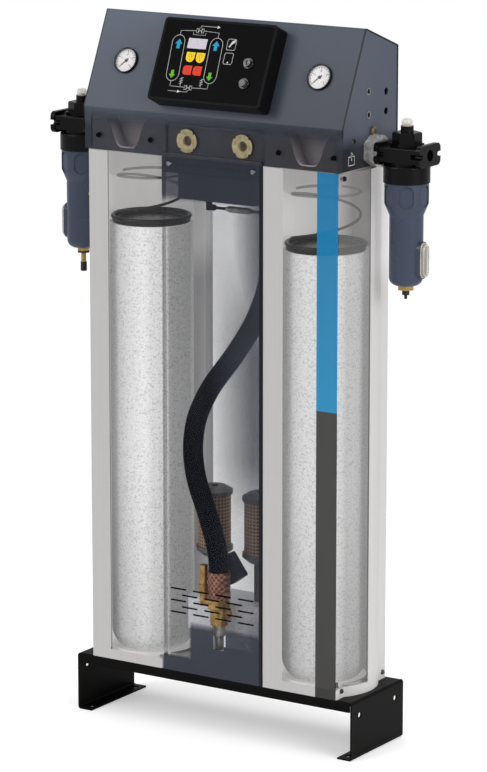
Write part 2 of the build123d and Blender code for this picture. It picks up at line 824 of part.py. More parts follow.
# Control box: an open-backed moulding with a printed film let into its face
with BuildPart(on_slope(0, box_up_slope)) as controller_housing:
    Box(box_width, box_height, box_thickness, align=(Align.CENTER, Align.CENTER, Align.MIN))
    fillet(controller_housing.edges().filter_by(slope_axis), radius=box_corner)
    fillet(controller_housing.faces().sort_by(slope_axis)[-1].edges(), radius=box_edge)
    Box(
        box_width - 2 * box_wall,
        box_height - 2 * box_wall,
        box_thickness - box_wall,
        align=(Align.CENTER, Align.CENTER, Align.MIN),
        mode=Mode.SUBTRACT,
    )
    with BuildSketch(on_slope(0, box_up_slope, box_thickness)) as film_recess:
        RectangleRounded(
            box_width - 2 * film_border + 2 * film_gap,
            box_height - 2 * film_border + 2 * film_gap,
            box_corner - box_wall,
        )
    extrude(amount=-film_thickness, mode=Mode.SUBTRACT)
    with BuildSketch(on_slope(0, box_up_slope, box_thickness)) as housing_openings:
        with Locations(*switch_places):
            Circle(bezel_body_radius + seat_gap)
        with Locations((window_x, window_y)):
            Rectangle(window_width, window_height)
    extrude(amount=-2 * box_wall, mode=Mode.SUBTRACT)
controller_housing.part.label = "controller_housing"
export_step(controller_housing.part, "parts/controller_housing.step")

# Film: a sunk window for the display and raised pads over four lamps
with BuildPart(on_slope(0, box_up_slope, box_thickness - film_thickness)) as controller_fascia:
    with BuildSketch(on_slope(0, box_up_slope, box_thickness - film_thickness)) as film_outline:
        RectangleRounded(box_width - 2 * film_border, box_height - 2 * film_border, box_corner - box_wall)
        with Locations(*switch_places):
            Circle(bezel_body_radius + seat_gap, mode=Mode.SUBTRACT)
    extrude(amount=film_thickness)
    with BuildSketch(on_slope(0, box_up_slope, box_thickness)) as lamp_pads:
        with Locations((lamp_x, lamp_y)):
            with GridLocations(lamp_pitch_x, lamp_pitch_y, 2, 2):
                Rectangle(lamp_width, lamp_height)
    extrude(amount=lamp_emboss)
    with BuildSketch(on_slope(0, box_up_slope, box_thickness)) as display_window:
        with Locations((window_x, window_y)):
            Rectangle(window_width, window_height)
    extrude(amount=-film_thickness / 2, mode=Mode.SUBTRACT)
controller_fascia.part.label = "controller_fascia"
export_step(controller_fascia.part, "parts/controller_fascia.step")

with BuildPart() as switch_bezels:
    for x, up in switch_places:
        with BuildSketch(on_slope(x, box_up_slope + up, box_thickness)) as bezel_ring:
            Circle(bezel_radius)
        extrude(amount=bezel_height)
        with BuildSketch(on_slope(x, box_up_slope + up, box_thickness)) as bezel_body:
            Circle(bezel_body_radius)
        extrude(amount=-bezel_body_length)
        with BuildSketch(on_slope(x, box_up_slope + up, box_thickness + bezel_height)) as bezel_bore:
            Circle(plunger_radius + running_fit)
        extrude(amount=bezel_floor - bezel_body_length - bezel_height, mode=Mode.SUBTRACT)
    bezel_rims = switch_bezels.edges().filter_by(GeomType.CIRCLE).filter_by(
        lambda edge: abs(edge.radius - bezel_radius) < 0.01
    )
    fillet(bezel_rims.group_by(slope_axis)[-1], radius=bezel_height / 3)
switch_bezels.part.label = "switch_bezels"
export_step(switch_bezels.part, "parts/switch_bezels.step")

bore_floor = box_thickness - bezel_body_length + bezel_floor
bezel_top = box_thickness + bezel_height
with BuildPart() as key_switch_rotor:
    with BuildSketch(on_slope(switch_x, box_up_slope + key_switch_y, bore_floor + seat_gap)) as rotor_section:
        Circle(plunger_radius)
    extrude(amount=bezel_top + rotor_height - bore_floor - seat_gap)
    with BuildSketch(on_slope(switch_x, box_up_slope + key_switch_y, bezel_top + rotor_height)) as key_slot:
        Rectangle(key_slot_width, key_slot_length)
    extrude(amount=-key_slot_depth, mode=Mode.SUBTRACT)
key_switch_rotor.part.label = "key_switch_rotor"
export_step(key_switch_rotor.part, "parts/key_switch_rotor.step")

with BuildPart() as reset_button:
    button_foot = bore_floor + button_travel + seat_gap
    with BuildSketch(on_slope(switch_x, box_up_slope + button_y, button_foot)) as button_section:
        Circle(plunger_radius)
    extrude(amount=bezel_top + button_height - button_foot)
    fillet(reset_button.edges().group_by(slope_axis)[-1], radius=button_edge)
reset_button.part.label = "reset_button"
export_step(reset_button.part, "parts/reset_button.step")

# Gauges: a case behind the slope, a bezel in front of it, and a lens over dial and needle
lens_seat = gauge_bezel_height - lens_sink - lens_thickness
for side, sx in sides:
    gauge_foot = slope.from_local_coords((sx * gauge_x, gauge_up_slope, 0))
    with BuildPart() as gauge_case:
        with BuildSketch(turning_plane(gauge_foot, slope.z_dir)) as case_section:
            with BuildLine() as case_outline:
                Polyline(
                    (0, gauge_dial_height),
                    (gauge_dial_radius, gauge_dial_height),
                    (gauge_dial_radius, lens_seat),
                    (gauge_dial_radius + lens_ledge, lens_seat),
                    (gauge_dial_radius + lens_ledge, gauge_bezel_height),
                    (gauge_bezel_radius - gauge_edge, gauge_bezel_height),
                    (gauge_bezel_radius, gauge_bezel_height - gauge_edge),
                    (gauge_bezel_radius, 0),
                    (gauge_case_radius, 0),
                    (gauge_case_radius, -gauge_depth),
                    (gauge_stem_radius, -gauge_depth),
                    (gauge_stem_radius, -gauge_depth - gauge_stem_length),
                    (0, -gauge_depth - gauge_stem_length),
                    close=True,
                )
            make_face()
        revolve(axis=Axis(gauge_foot, slope.z_dir))
        with BuildSketch(on_slope(sx * gauge_x, gauge_up_slope, gauge_dial_height)) as gauge_pin:
            Circle(pin_radius)
        extrude(amount=lens_seat - gauge_dial_height - seat_gap)
    gauge_case.part.label = f"gauge_case_{side}"
    export_step(gauge_case.part, f"parts/gauge_case_{side}.step")

for side, sx in sides:
    with BuildPart() as gauge_lens:
        with BuildSketch(on_slope(sx * gauge_x, gauge_up_slope, lens_seat)) as lens_disc:
            Circle(gauge_dial_radius + lens_ledge - seat_gap)
        extrude(amount=lens_thickness)
    gauge_lens.part.label = f"gauge_lens_{side}"
    export_step(gauge_lens.part, f"parts/gauge_lens_{side}.step")

# Needles rest at the zero of the scale, low on the left
for side, sx in sides:
    with BuildPart() as gauge_needle:
        hub_plane = on_slope(sx * gauge_x, gauge_up_slope, gauge_dial_height + seat_gap)
        with BuildSketch(hub_plane) as needle_hub:
            Circle(needle_hub_radius)
        extrude(amount=needle_hub_height)
        with BuildSketch(hub_plane.offset(needle_lift - seat_gap)) as needle_blade:
            with BuildLine(Plane.XY.rotated((0, 0, zero_angle))) as blade_outline:
                Polyline(
                    (-needle_tail, -needle_width / 2),
                    (needle_length / 2, -needle_width / 3),
                    (needle_length, 0),
                    (needle_length / 2, needle_width / 3),
                    (-needle_tail, needle_width / 2),
                    close=True,
                )
            make_face()
        extrude(amount=needle_thickness)
        with BuildSketch(hub_plane) as needle_bore:
            Circle(pin_radius + running_fit)
        extrude(amount=needle_hub_height + needle_thickness, mode=Mode.SUBTRACT)
    gauge_needle.part.label = f"gauge_needle_{side}"
    export_step(gauge_needle.part, f"parts/gauge_needle_{side}.step")

# Filters: a cast head with a flanged arm, a skirt round the bowl's neck, and an indicator on top
skirt_top = -skirt_drop
skirt_bottom = skirt_top - skirt_height
hexagon_level = arm_half_height + indicator_foot_height
block_level = hexagon_level + indicator_hex_height
collar_level = block_level + collar_height
for side, sx in sides:
    filter_plane = Plane((sx * filter_x, port_y, port_z))
    with BuildPart() as filter_head:
        with BuildSketch(filter_plane.offset(skirt_bottom)) as skirt:
            Circle(skirt_radius)
        extrude(amount=skirt_height)
        fillet(filter_head.edges().group_by(Axis.Z)[-1], radius=casting_edge)
        with BuildSketch(filter_plane.offset(skirt_top)) as throat:
            Circle(throat_radius)
        extrude(amount=skirt_drop)
        with BuildSketch(filter_plane.offset(-arm_half_height)) as arm:
            RectangleRounded(2 * filter_half_length, 2 * arm_half_width, arm_corner)
        extrude(amount=2 * arm_half_height)
        fillet(filter_head.edges().group_by(Axis.Z)[-1], radius=arm_edge)
        with BuildSketch(Plane.YZ.offset(sx * filter_x)) as port_barrel:
            with Locations((port_y, port_z)):
                Circle(port_boss_radius)
        extrude(amount=filter_half_length, both=True)
        for end in (-1, 1):
            with BuildSketch(Plane.YZ.offset(sx * filter_x + end * filter_half_length)) as port_flange:
                with Locations((port_y, port_z)):
                    RectangleRounded(2 * flange_half_width, 2 * flange_half_height, flange_corner)
            extrude(amount=-end * flange_thickness)
            with BuildSketch(Plane.YZ.offset(sx * filter_x + end * filter_half_length)) as bolt_slots:
                with Locations((port_y, port_z)):
                    with GridLocations(2 * flange_half_width, 1, 2, 1):
                        SlotOverall(2 * flange_slot_depth, flange_slot_width)
            extrude(amount=-end * (flange_thickness + bolt_room), mode=Mode.SUBTRACT)
        with BuildSketch(filter_plane.offset(arm_half_height)) as indicator_base:
            RegularPolygon(indicator_foot / 2, 6, major_radius=False, rotation=hexagon_turn)
        extrude(amount=indicator_foot_height)
        with BuildSketch(filter_plane.offset(hexagon_level)) as indicator_hexagon:
            RegularPolygon(indicator_hex / 2, 6, major_radius=False, rotation=hexagon_turn)
        extrude(amount=indicator_hex_height)
        chamfer(filter_head.edges().group_by(Axis.Z)[-1], length=arm_edge)
        with BuildSketch(filter_plane.offset(block_level)) as collar:
            Circle(collar_radius)
        extrude(amount=collar_height)
        for end in (-1, 1):
            with BuildSketch(Plane.YZ.offset(sx * filter_x + end * filter_half_length)) as port_bore:
                with Locations((port_y, port_z)):
                    Circle(filter_port_radius)
            extrude(amount=-end * filter_port_depth, mode=Mode.SUBTRACT)
        with BuildSketch(filter_plane.offset(skirt_bottom)) as neck_socket:
            Circle(bowl_neck_radius + seat_gap)
        extrude(amount=bowl_neck_height + seat_gap, mode=Mode.SUBTRACT)
        with BuildSketch(filter_plane.offset(collar_level)) as piston_bore:
            Circle(piston_radius + running_fit)
        extrude(amount=-(piston_length - piston_show), mode=Mode.SUBTRACT)
    filter_head.part.label = f"filter_head_{side}"
    export_step(filter_head.part, f"parts/filter_head_{side}.step")

bowl_rim = port_z + skirt_bottom
sight_z = bowl_rim - bowl_length + bowl_round + sight_height
for side, sx in sides:
    foot = (sx * filter_x, port_y, bowl_rim)
    with BuildPart() as filter_bowl:
        with BuildSketch(turning_plane(foot, (0, 0, -1))) as bowl_section:
            with BuildLine() as bowl_outline:
                Polyline(
                    (0, -bowl_neck_height),
                    (-bowl_neck_radius, -bowl_neck_height),
                    (-bowl_neck_radius, 0),
                    (-bowl_top_radius, 0),
                    (-bowl_top_radius, bowl_grip_height),
                    (-bowl_body_radius, bowl_grip_height + bowl_taper_height),
                    (-bowl_body_radius, bowl_length),
                    (0, bowl_length),
                    close=True,
                )
            make_face()
        revolve(axis=Axis(foot, (0, 0, 1)))
        fillet(filter_bowl.edges().group_by(Axis.Z)[0], radius=bowl_round)
        # Oval finger grips, sunk round the thick upper part
        for grip in range(grip_count):
            outward = Vector(1, 0, 0).rotate(Axis.Z, 360 * grip / grip_count)
            grip_place = Vector(*foot) + bowl_top_radius * outward - Vector(0, 0, grip_drop)
            with BuildSketch(Plane(origin=grip_place, x_dir=(0, 0, 1), z_dir=outward)) as finger_grip:
                SlotOverall(grip_height, grip_width)
            extrude(amount=-grip_depth, mode=Mode.SUBTRACT)
        # Flat pad that carries the sight glass
        with BuildSketch(Plane.YZ.offset(sx * filter_x)) as sight_pad:
            with Locations(Location((port_y, sight_z), 90)):
                SlotOverall(sight_length + 2 * sight_border, sight_width + 2 * sight_border)
        extrude(amount=sx * sight_pad_out)
        with BuildSketch(turning_plane(foot, (0, 0, -1))) as bowl_hollow:
            with BuildLine() as hollow_outline:
                Polyline(
                    (0, -bowl_neck_height),
                    (bowl_wall - bowl_neck_radius, -bowl_neck_height),
                    (bowl_wall - bowl_neck_radius, bowl_grip_height),
                    (bowl_wall - bowl_body_radius, bowl_grip_height + bowl_taper_height),
                    (bowl_wall - bowl_body_radius, bowl_length - bowl_round),
                    (bowl_round - bowl_body_radius, bowl_length - bowl_wall),
                    (0, bowl_length - bowl_wall),
                    close=True,
                )
            make_face()
        revolve(axis=Axis(foot, (0, 0, 1)), mode=Mode.SUBTRACT)
    filter_bowl.part.label = f"filter_bowl_{side}"
    export_step(filter_bowl.part, f"parts/filter_bowl_{side}.step")

for side, sx in sides:
    with BuildPart() as sight_glass:
        with BuildSketch(Plane.YZ.offset(sx * (filter_x + sight_pad_out))) as glass_outline:
            with Locations(Location((port_y, sight_z), 90)):
                SlotOverall(sight_length, sight_width)
        extrude(amount=sx * (sight_out - sight_pad_out))
        fillet(sight_glass.faces().sort_by(Axis.X)[-1 if sx > 0 else 0].edges(), radius=sight_edge)
    sight_glass.part.label = f"sight_glass_{side}"
    export_step(sight_glass.part, f"parts/sight_glass_{side}.step")

for side, sx in sides:
    foot = (sx * filter_x, port_y, port_z + collar_level)
    with BuildPart(Plane(foot)) as indicator_dome:
        Cylinder(dome_radius, dome_height, align=(Align.CENTER, Align.CENTER, Align.MIN))
        fillet(indicator_dome.edges().group_by(Axis.Z)[-1], radius=dome_round)
        offset(amount=-dome_wall, openings=indicator_dome.faces().sort_by(Axis.Z)[0])
    indicator_dome.part.label = f"indicator_dome_{side}"
    export_step(indicator_dome.part, f"parts/indicator_dome_{side}.step")

for side, sx in sides:
    piston_foot = port_z + collar_level - piston_length + piston_show + seat_gap
    with BuildPart(Plane((sx * filter_x, port_y, piston_foot))) as indicator_piston:
        Cylinder(piston_radius, piston_length - seat_gap, align=(Align.CENTER, Align.CENTER, Align.MIN))
    indicator_piston.part.label = f"indicator_piston_{side}"
    export_step(indicator_piston.part, f"parts/indicator_piston_{side}.step")

# Drains: a hexagon under each bowl, a stem, and on the left a rubber cap
bowl_foot = bowl_rim - bowl_length
for side, sx in sides:
    hex_size, hex_height, stem, stem_reach, cap, cap_length = drain_sizes[side]
    with BuildPart(Plane((sx * filter_x, port_y, bowl_foot))) as drain_valve:
        with BuildSketch(Plane((sx * filter_x, port_y, bowl_foot))) as drain_hex:
            RegularPolygon(hex_size / 2, 6, major_radius=False)
        extrude(amount=-hex_height)
        with Locations((0, 0, -hex_height)):
            Cylinder(stem, stem_reach, align=(Align.CENTER, Align.CENTER, Align.MAX))
        with Locations((0, 0, -hex_height - stem_reach)):
            Cylinder(cap, cap_length, align=(Align.CENTER, Align.CENTER, Align.MAX))
        fillet(drain_valve.edges().group_by(Axis.Z)[0], radius=drain_edge)
    drain_valve.part.label = f"drain_valve_{side}"
    export_step(drain_valve.part, f"parts/drain_valve_{side}.step")

# Nickel nipples join each filter's inner port to the manifold through the side of the head
with BuildPart() as port_nipples:
    for side, sx in sides:
        with BuildSketch(Plane.YZ.offset(sx * side_face)) as nipple_hexagon:
            with Locations((port_y, port_z)):
                RegularPolygon(nipple_hex / 2, 6, major_radius=False, rotation=hexagon_turn)
        extrude(amount=sx * (flange_inner - side_face))
        with BuildSketch(Plane.YZ.offset(sx * side_face)) as nipple_tube:
            with Locations((port_y, port_z)):
                Circle(nipple_tube_radius)
        extrude(amount=-sx * (sheet + nipple_thread_length - seat_gap))
        with BuildSketch(Plane.YZ.offset(sx * flange_inner)) as nipple_thread:
            with Locations((port_y, port_z)):
                Circle(filter_port_radius - seat_gap)
        extrude(amount=sx * nipple_thread_length)
port_nipples.part.label = "port_nipples"
export_step(port_nipples.part, "parts/port_nipples.step")

# Valve block on two legs, with a boss towards each column's foot
with BuildPart(Plane((0, column_y, base_height))) as valve_block:
    with BuildSketch(Plane((0, column_y, base_height + block_bottom))) as block_section:
        RectangleRounded(2 * gallery_half_width, 2 * block_half_depth, block_corner)
    extrude(amount=block_top - block_bottom)
    with BuildSketch(Plane((0, column_y, base_height))) as block_legs:
        with GridLocations(2 * block_leg_x, 1, 2, 1):
            RectangleRounded(block_leg_width, block_leg_depth, block_corner / 2)
    extrude(amount=block_bottom + block_corner)
    with BuildSketch(Plane.YZ) as block_bosses:
        with Locations((column_y, base_height + block_boss_height)):
            Circle(block_boss_radius)
    extrude(amount=column_x - column_bulge_radius - seat_gap, both=True)
valve_block.part.label = "valve_block"
export_step(valve_block.part, "parts/valve_block.step")

# Brass elbow: hexagon under the hose, a barrel into the block, a foot, and a capped branch
block_face = column_y - block_half_depth
hose_x = hose_route[0][0]
hose_y = block_face - hose_stand_off
branch_y = block_face - branch_stand_off
with BuildPart(Plane((0, 0, base_height))) as hose_elbow:
    with Locations((hose_x, hose_y, elbow_foot)):
        Cylinder(elbow_radius, elbow_hex_top - elbow_foot, align=(Align.CENTER, Align.CENTER, Align.MIN))
    with BuildSketch(Plane((hose_x, hose_y, base_height + elbow_hex_top))) as elbow_hexagon:
        RegularPolygon(elbow_hex / 2, 6, major_radius=False)
    extrude(amount=-elbow_hex_height)
    with BuildSketch(Plane((hose_x, block_face, base_height + elbow_height), z_dir=(0, -1, 0))) as barrel:
        Circle(elbow_barrel_radius)
    extrude(amount=block_face - hose_y)
    with Locations((branch_x, branch_y, branch_bottom)):
        Cylinder(branch_radius, branch_top - branch_bottom, align=(Align.CENTER, Align.CENTER, Align.MIN))
        with Locations((0, 0, branch_cap_rise)):
            Cylinder(branch_cap_radius, branch_cap_height, align=(Align.CENTER, Align.CENTER, Align.MIN))
    arm_start = Vector(branch_x, branch_y, base_height + branch_bottom + branch_radius)
    arm_end = Vector(hose_x, hose_y, arm_start.Z)
    with BuildSketch(Plane(origin=arm_start, z_dir=arm_end - arm_start)) as branch_arm:
        Circle(branch_arm_radius)
    extrude(amount=(arm_end - arm_start).length)
hose_elbow.part.label = "hose_elbow"
export_step(hose_elbow.part, "parts/hose_elbow.step")

with BuildPart(Plane((hose_x, hose_y, base_height + elbow_foot))) as drain_check_valve:
    Cylinder(check_radius, check_length, align=(Align.CENTER, Align.CENTER, Align.MAX))
    chamfer(drain_check_valve.edges().group_by(Axis.Z)[0], length=check_edge)
    with Locations((0, 0, -check_length)):
        Cylinder(check_tail_radius, check_tail_length, align=(Align.CENTER, Align.CENTER, Align.MAX))
drain_check_valve.part.label = "drain_check_valve"
export_step(drain_check_valve.part, "parts/drain_check_valve.step")

# Purge hose: straight runs joined by tangent arcs, from the lower ferrule to the gallery
hose_start = base_height + elbow_hex_top + ferrule_end
hose_finish = gallery_floor - ferrule_end
hose_corners = [
    Vector(x, hose_y + back, base_height + share * column_length) for x, back, share in hose_route
]
hose_points = (
    [Vector(hose_corners[0].X, hose_corners[0].Y, hose_start)]
    + hose_corners
    + [Vector(hose_corners[-1].X, hose_corners[-1].Y, hose_finish)]
)
hose_radii = []
for before, corner, after in zip(hose_points, hose_points[1:], hose_points[2:]):
    run = min((corner - before).length, (after - corner).length)
    half_turn = radians((corner - before).get_angle(after - corner)) / 2
    hose_radii.append(bend_share * run / tan(half_turn))
print("hose bend radii", [round(radius) for radius in hose_radii])
with BuildPart() as purge_hose:
    with BuildLine() as hose_line:
        FilletPolyline(*hose_points, radius=hose_radii)
    with BuildSketch(Plane(origin=hose_points[0], z_dir=(0, 0, 1))) as hose_section:
        Circle(hose_radius)
    sweep(path=hose_line.wires()[0])
print("hose length", round(hose_line.wires()[0].length), "volume", round(purge_hose.part.volume))
print("section times length", round(pi * hose_radius**2 * hose_line.wires()[0].length))
purge_hose.part.label = "purge_hose"
export_step(purge_hose.part, "parts/purge_hose.step")

# Crimped ferrules: grooved cups over both ends of the hose
hose_ends = ((hose_points[0], 1), (hose_points[-1], -1))
with BuildPart() as hose_ferrules:
    for hose_end, along in hose_ends:
        ferrule_foot = hose_end - Vector(0, 0, along * ferrule_end)
        with BuildSketch(turning_plane(ferrule_foot, (0, 0, along))) as ferrule_section:
            with BuildLine() as ferrule_outline:
                Polyline(
                    (0, 0),
                    (ferrule_radius, 0),
                    (ferrule_radius, ferrule_length),
                    (hose_radius + seat_gap, ferrule_length),
                    (hose_radius + seat_gap, ferrule_end),
                    (0, ferrule_end),
                    close=True,
                )
            make_face()
            with Locations((ferrule_radius, ferrule_length / 2)):
                with GridLocations(1, ferrule_groove_pitch, 1, ferrule_grooves):
                    Rectangle(2 * ferrule_groove, 2 * ferrule_end, mode=Mode.SUBTRACT)
        revolve(axis=Axis(ferrule_foot, (0, 0, 1)))
hose_ferrules.part.label = "hose_ferrules"
export_step(hose_ferrules.part, "parts/hose_ferrules.step")

# Silencers: two flared caps on a rod with a mesh sleeve between them
for side, sx in sides:
    foot = (sx * silencer_x, column_y, base_height + block_top)
    cap_level = silencer_neck_top - block_top
    mesh_level = cap_level + silencer_cap_height
    top_level = mesh_level + mesh_length
    with BuildPart() as silencer_body:
        with BuildSketch(turning_plane(foot, (0, 0, 1))) as silencer_section:
            with BuildLine() as silencer_outline:
                Polyline(
                    (0, 0),
                    (silencer_neck_radius, 0),
                    (silencer_neck_radius, cap_level),
                    (silencer_shoulder, cap_level),
                    (silencer_radius, mesh_level - silencer_rim),
                    (silencer_radius, mesh_level),
                    (silencer_rod_radius, mesh_level),
                    (silencer_rod_radius, top_level),
                    (silencer_radius, top_level),
                    (silencer_radius, top_level + silencer_rim),
                    (silencer_shoulder, top_level + silencer_crown),
                    (silencer_nose, top_level + silencer_crown),
                    (silencer_nose, top_level + silencer_cap_height),
                    (0, top_level + silencer_cap_height),
                    close=True,
                )
            make_face()
        revolve(axis=Axis(foot, (0, 0, 1)))
    silencer_body.part.label = f"silencer_body_{side}"
    export_step(silencer_body.part, f"parts/silencer_body_{side}.step")

for side, sx in sides:
    mesh_foot = base_height + silencer_neck_top + silencer_cap_height
    with BuildPart(Plane((sx * silencer_x, column_y, mesh_foot))) as silencer_mesh:
        Cylinder(mesh_radius, mesh_length, align=(Align.CENTER, Align.CENTER, Align.MIN))
        Cylinder(
            mesh_radius - mesh_wall,
            mesh_length,
            align=(Align.CENTER, Align.CENTER, Align.MIN),
            mode=Mode.SUBTRACT,
        )
    silencer_mesh.part.label = f"silencer_mesh_{side}"
    export_step(silencer_mesh.part, f"parts/silencer_mesh_{side}.step")

# Solenoid coil on an armature tube that reaches the side of the elbow's branch
coil_centre = Vector(coil_x, column_y - coil_forward, base_height + coil_height)
tube_foot = Vector(branch_x, branch_y, base_height + branch_top - coil_tube_drop)
with BuildPart(Plane(coil_centre).rotated((0, coil_lean, 0))) as solenoid_coil:
    Box(coil_width, coil_thickness, coil_length)
    fillet(solenoid_coil.edges().filter_by(Axis.Y), radius=coil_corner)
    with BuildSketch(Plane(origin=coil_centre, z_dir=tube_foot - coil_centre)) as armature_tube:
        Circle(coil_tube_radius)
    extrude(amount=(tube_foot - coil_centre).length)
    with BuildSketch(Plane((branch_x, branch_y, base_height + branch_bottom))) as branch_clearance:
        Circle(branch_radius + seat_gap)
    extrude(amount=branch_top, mode=Mode.SUBTRACT)
solenoid_coil.part.label = "solenoid_coil"
export_step(solenoid_coil.part, "parts/solenoid_coil.step")

# Pilot line under the gallery: nut, elbow, thin tube and in-line filter, into the right column
pilot_z = gallery_floor - pilot_drop
filter_start = pilot_x + pilot_filter_start
filter_end = filter_start + pilot_filter_length
with BuildPart() as pilot_elbow:
    with BuildSketch(Plane((pilot_x, pilot_y, gallery_floor))) as pilot_nut:
        RegularPolygon(pilot_hex / 2, 6, major_radius=False)
    extrude(amount=-pilot_nut_height)
    with BuildSketch(Plane((pilot_x, pilot_y, gallery_floor - pilot_nut_height))) as elbow_stem:
        Circle(pilot_elbow_radius)
    extrude(amount=pilot_nut_height - pilot_drop - pilot_elbow_radius)
    with BuildSketch(Plane.YZ.offset(pilot_x)) as elbow_arm:
        with Locations((pilot_y, pilot_z)):
            Circle(pilot_elbow_radius)
    extrude(amount=pilot_elbow_reach)
pilot_elbow.part.label = "pilot_elbow"
export_step(pilot_elbow.part, "parts/pilot_elbow.step")

column_skin = column_x - (column_bulge_radius**2 - (pilot_y - column_y) ** 2) ** 0.5
tube_runs = ((pilot_x + pilot_elbow_reach, filter_start), (filter_end, column_skin + pilot_entry))
with BuildPart() as pilot_tube:
    for start, end in tube_runs:
        with BuildSketch(Plane.YZ.offset(start)) as tube_section:
            with Locations((pilot_y, pilot_z)):
                Circle(pilot_tube_radius)
        extrude(amount=end - start)
pilot_tube.part.label = "pilot_tube"
export_step(pilot_tube.part, "parts/pilot_tube.step")

foot = (filter_start, pilot_y, pilot_z)
with BuildPart() as pilot_filter:
    with BuildSketch(turning_plane(foot, (1, 0, 0), (0, 0, 1))) as pilot_filter_section:
        with BuildLine() as pilot_filter_outline:
            Polyline(
                (0, 0),
                (pilot_filter_neck, 0),
                (pilot_filter_neck, pilot_filter_neck_length),
                (pilot_filter_radius, pilot_filter_neck_length),
                (pilot_filter_radius, pilot_filter_length - pilot_filter_neck_length),
                (pilot_filter_neck, pilot_filter_length - pilot_filter_neck_length),
                (pilot_filter_neck, pilot_filter_length),
                (0, pilot_filter_length),
                close=True,
            )
        make_face()
    revolve(axis=Axis(foot, (1, 0, 0)))
pilot_filter.part.label = "pilot_filter"
export_step(pilot_filter.part, "parts/pilot_filter.step")

# Round-headed screws, each with its socket, drawn outwards from the face that it stands on
flange_screw_planes = [
    Plane((sx * column_side, y, z), z_dir=(sx, 0, 0))
    for side, sx in sides
    for y in port_ys
    for z in (lower_screw_z, upper_screw_z)
] + [
    Plane((sx * side_face, side_bolt_y, head_bottom + side_bolt_height), z_dir=(sx, 0, 0))
    for side, sx in sides
]
panel_screw_planes = [
    Plane((sx * panel_screw_spacing / 2, panel_y, head_bottom - panel_screw_drop), z_dir=(0, -inward, 0))
    for side, sx in sides
    for place, panel_y, inward in panel_places
] + [
    Plane((sx * column_x + dx, head_front, head_bottom + cover_screw_height), z_dir=(0, -1, 0))
    for side, sx in sides
    for dx in (scoop_shift[side] - cover_screw_offset, scoop_shift[side] + cover_screw_offset)
]
for name, screw_planes in (("flange_screws", flange_screw_planes), ("panel_screws", panel_screw_planes)):
    with BuildPart() as screws:
        for screw_plane in screw_planes:
            with BuildSketch(screw_plane) as screw_head:
                Circle(screw_head_radius)
            extrude(amount=screw_head_height, taper=screw_head_taper)
            with BuildSketch(screw_plane) as screw_shank:
                Circle(screw_radius)
            extrude(amount=-screw_length)
            with BuildSketch(screw_plane.offset(screw_head_height)) as screw_recess:
                RegularPolygon(screw_socket / 2, 6, major_radius=False)
            extrude(amount=-screw_head_height / 2, mode=Mode.SUBTRACT)
    screws.part.label = name
    export_step(screws.part, f"parts/{name}.step")
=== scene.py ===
from math import atan2, cos, pi, radians, sin

import bpy
from mathutils import Matrix, Vector


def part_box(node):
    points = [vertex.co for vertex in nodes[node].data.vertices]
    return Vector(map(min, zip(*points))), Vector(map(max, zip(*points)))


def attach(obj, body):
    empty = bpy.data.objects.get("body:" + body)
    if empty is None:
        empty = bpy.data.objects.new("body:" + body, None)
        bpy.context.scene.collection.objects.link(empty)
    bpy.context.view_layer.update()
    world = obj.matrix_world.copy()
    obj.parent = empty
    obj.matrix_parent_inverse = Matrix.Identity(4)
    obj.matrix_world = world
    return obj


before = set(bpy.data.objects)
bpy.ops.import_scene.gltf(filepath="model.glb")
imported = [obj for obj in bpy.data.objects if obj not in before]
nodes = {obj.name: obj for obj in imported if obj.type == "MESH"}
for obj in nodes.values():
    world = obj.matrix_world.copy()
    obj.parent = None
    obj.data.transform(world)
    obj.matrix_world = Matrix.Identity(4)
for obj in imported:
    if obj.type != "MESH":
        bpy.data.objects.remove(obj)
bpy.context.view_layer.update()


# Studio: a long lens looks down a little from the front right.
# Large soft boxes and a pale world light the dryer evenly. The paper floor turns into plain white
# away from the base, and keeps a soft shadow round it.
camera_data = bpy.data.cameras.new("camera")
camera_data.lens = 179.22
camera_data.sensor_width = 36.0
camera_data.clip_end = 60.0
camera = bpy.data.objects.new("camera", camera_data)
camera.location = (3.4062, -5.25596, 1.9648)
camera.rotation_euler = (radians(77.58), 0, radians(32.87))
bpy.context.scene.collection.objects.link(camera)
bpy.context.scene.camera = camera
bpy.context.scene.view_settings.view_transform = "Standard"


def srgb(code):
    """The linear colour of an sRGB hex code."""
    parts = [int(code[i : i + 2], 16) / 255 for i in (0, 2, 4)]
    return [p / 12.92 if p <= 0.04045 else ((p + 0.055) / 1.055) ** 2.4 for p in parts] + [1.0]


def set_inputs(node, inputs):
    """Sets inputs of a node to numbers or colours, or links them to sockets or to other nodes."""
    for name, value in inputs.items():
        if isinstance(value, bpy.types.Node):
            value = next(socket for socket in value.outputs if socket.enabled)
        if isinstance(value, bpy.types.NodeSocket):
            node.id_data.links.new(value, node.inputs[name])
        else:
            node.inputs[name].default_value = value


def add_node(tree, kind, *inputs, stops=(), **settings):
    """Adds a shader node with its settings, and a colour ramp's two stops.

    Inputs stand in their order, or by name in a dictionary. Those of a MapRange are a value, the
    range it runs through, and what the two ends of that range become.
    """
    node = tree.nodes.new("ShaderNode" + kind)
    for name, value in settings.items():
        setattr(node, name, value)
    for index, (position, code) in enumerate(stops):
        node.color_ramp.elements[index].position = position
        node.color_ramp.elements[index].color = srgb(code)
    by_name = inputs and isinstance(inputs[0], dict)
    set_inputs(node, inputs[0] if by_name else dict(enumerate(inputs)))
    return node


def new_finish(name, **sockets):
    """A material with one Principled shader, and the Object coordinates that its patterns read."""
    material = bpy.data.materials.new(name)
    material.use_nodes = True
    tree = material.node_tree
    shader = tree.nodes["Principled BSDF"]
    set_inputs(shader, {socket.replace("_", " "): value for socket, value in sockets.items()})
    return material, tree, shader, add_node(tree, "TexCoord").outputs["Object"]


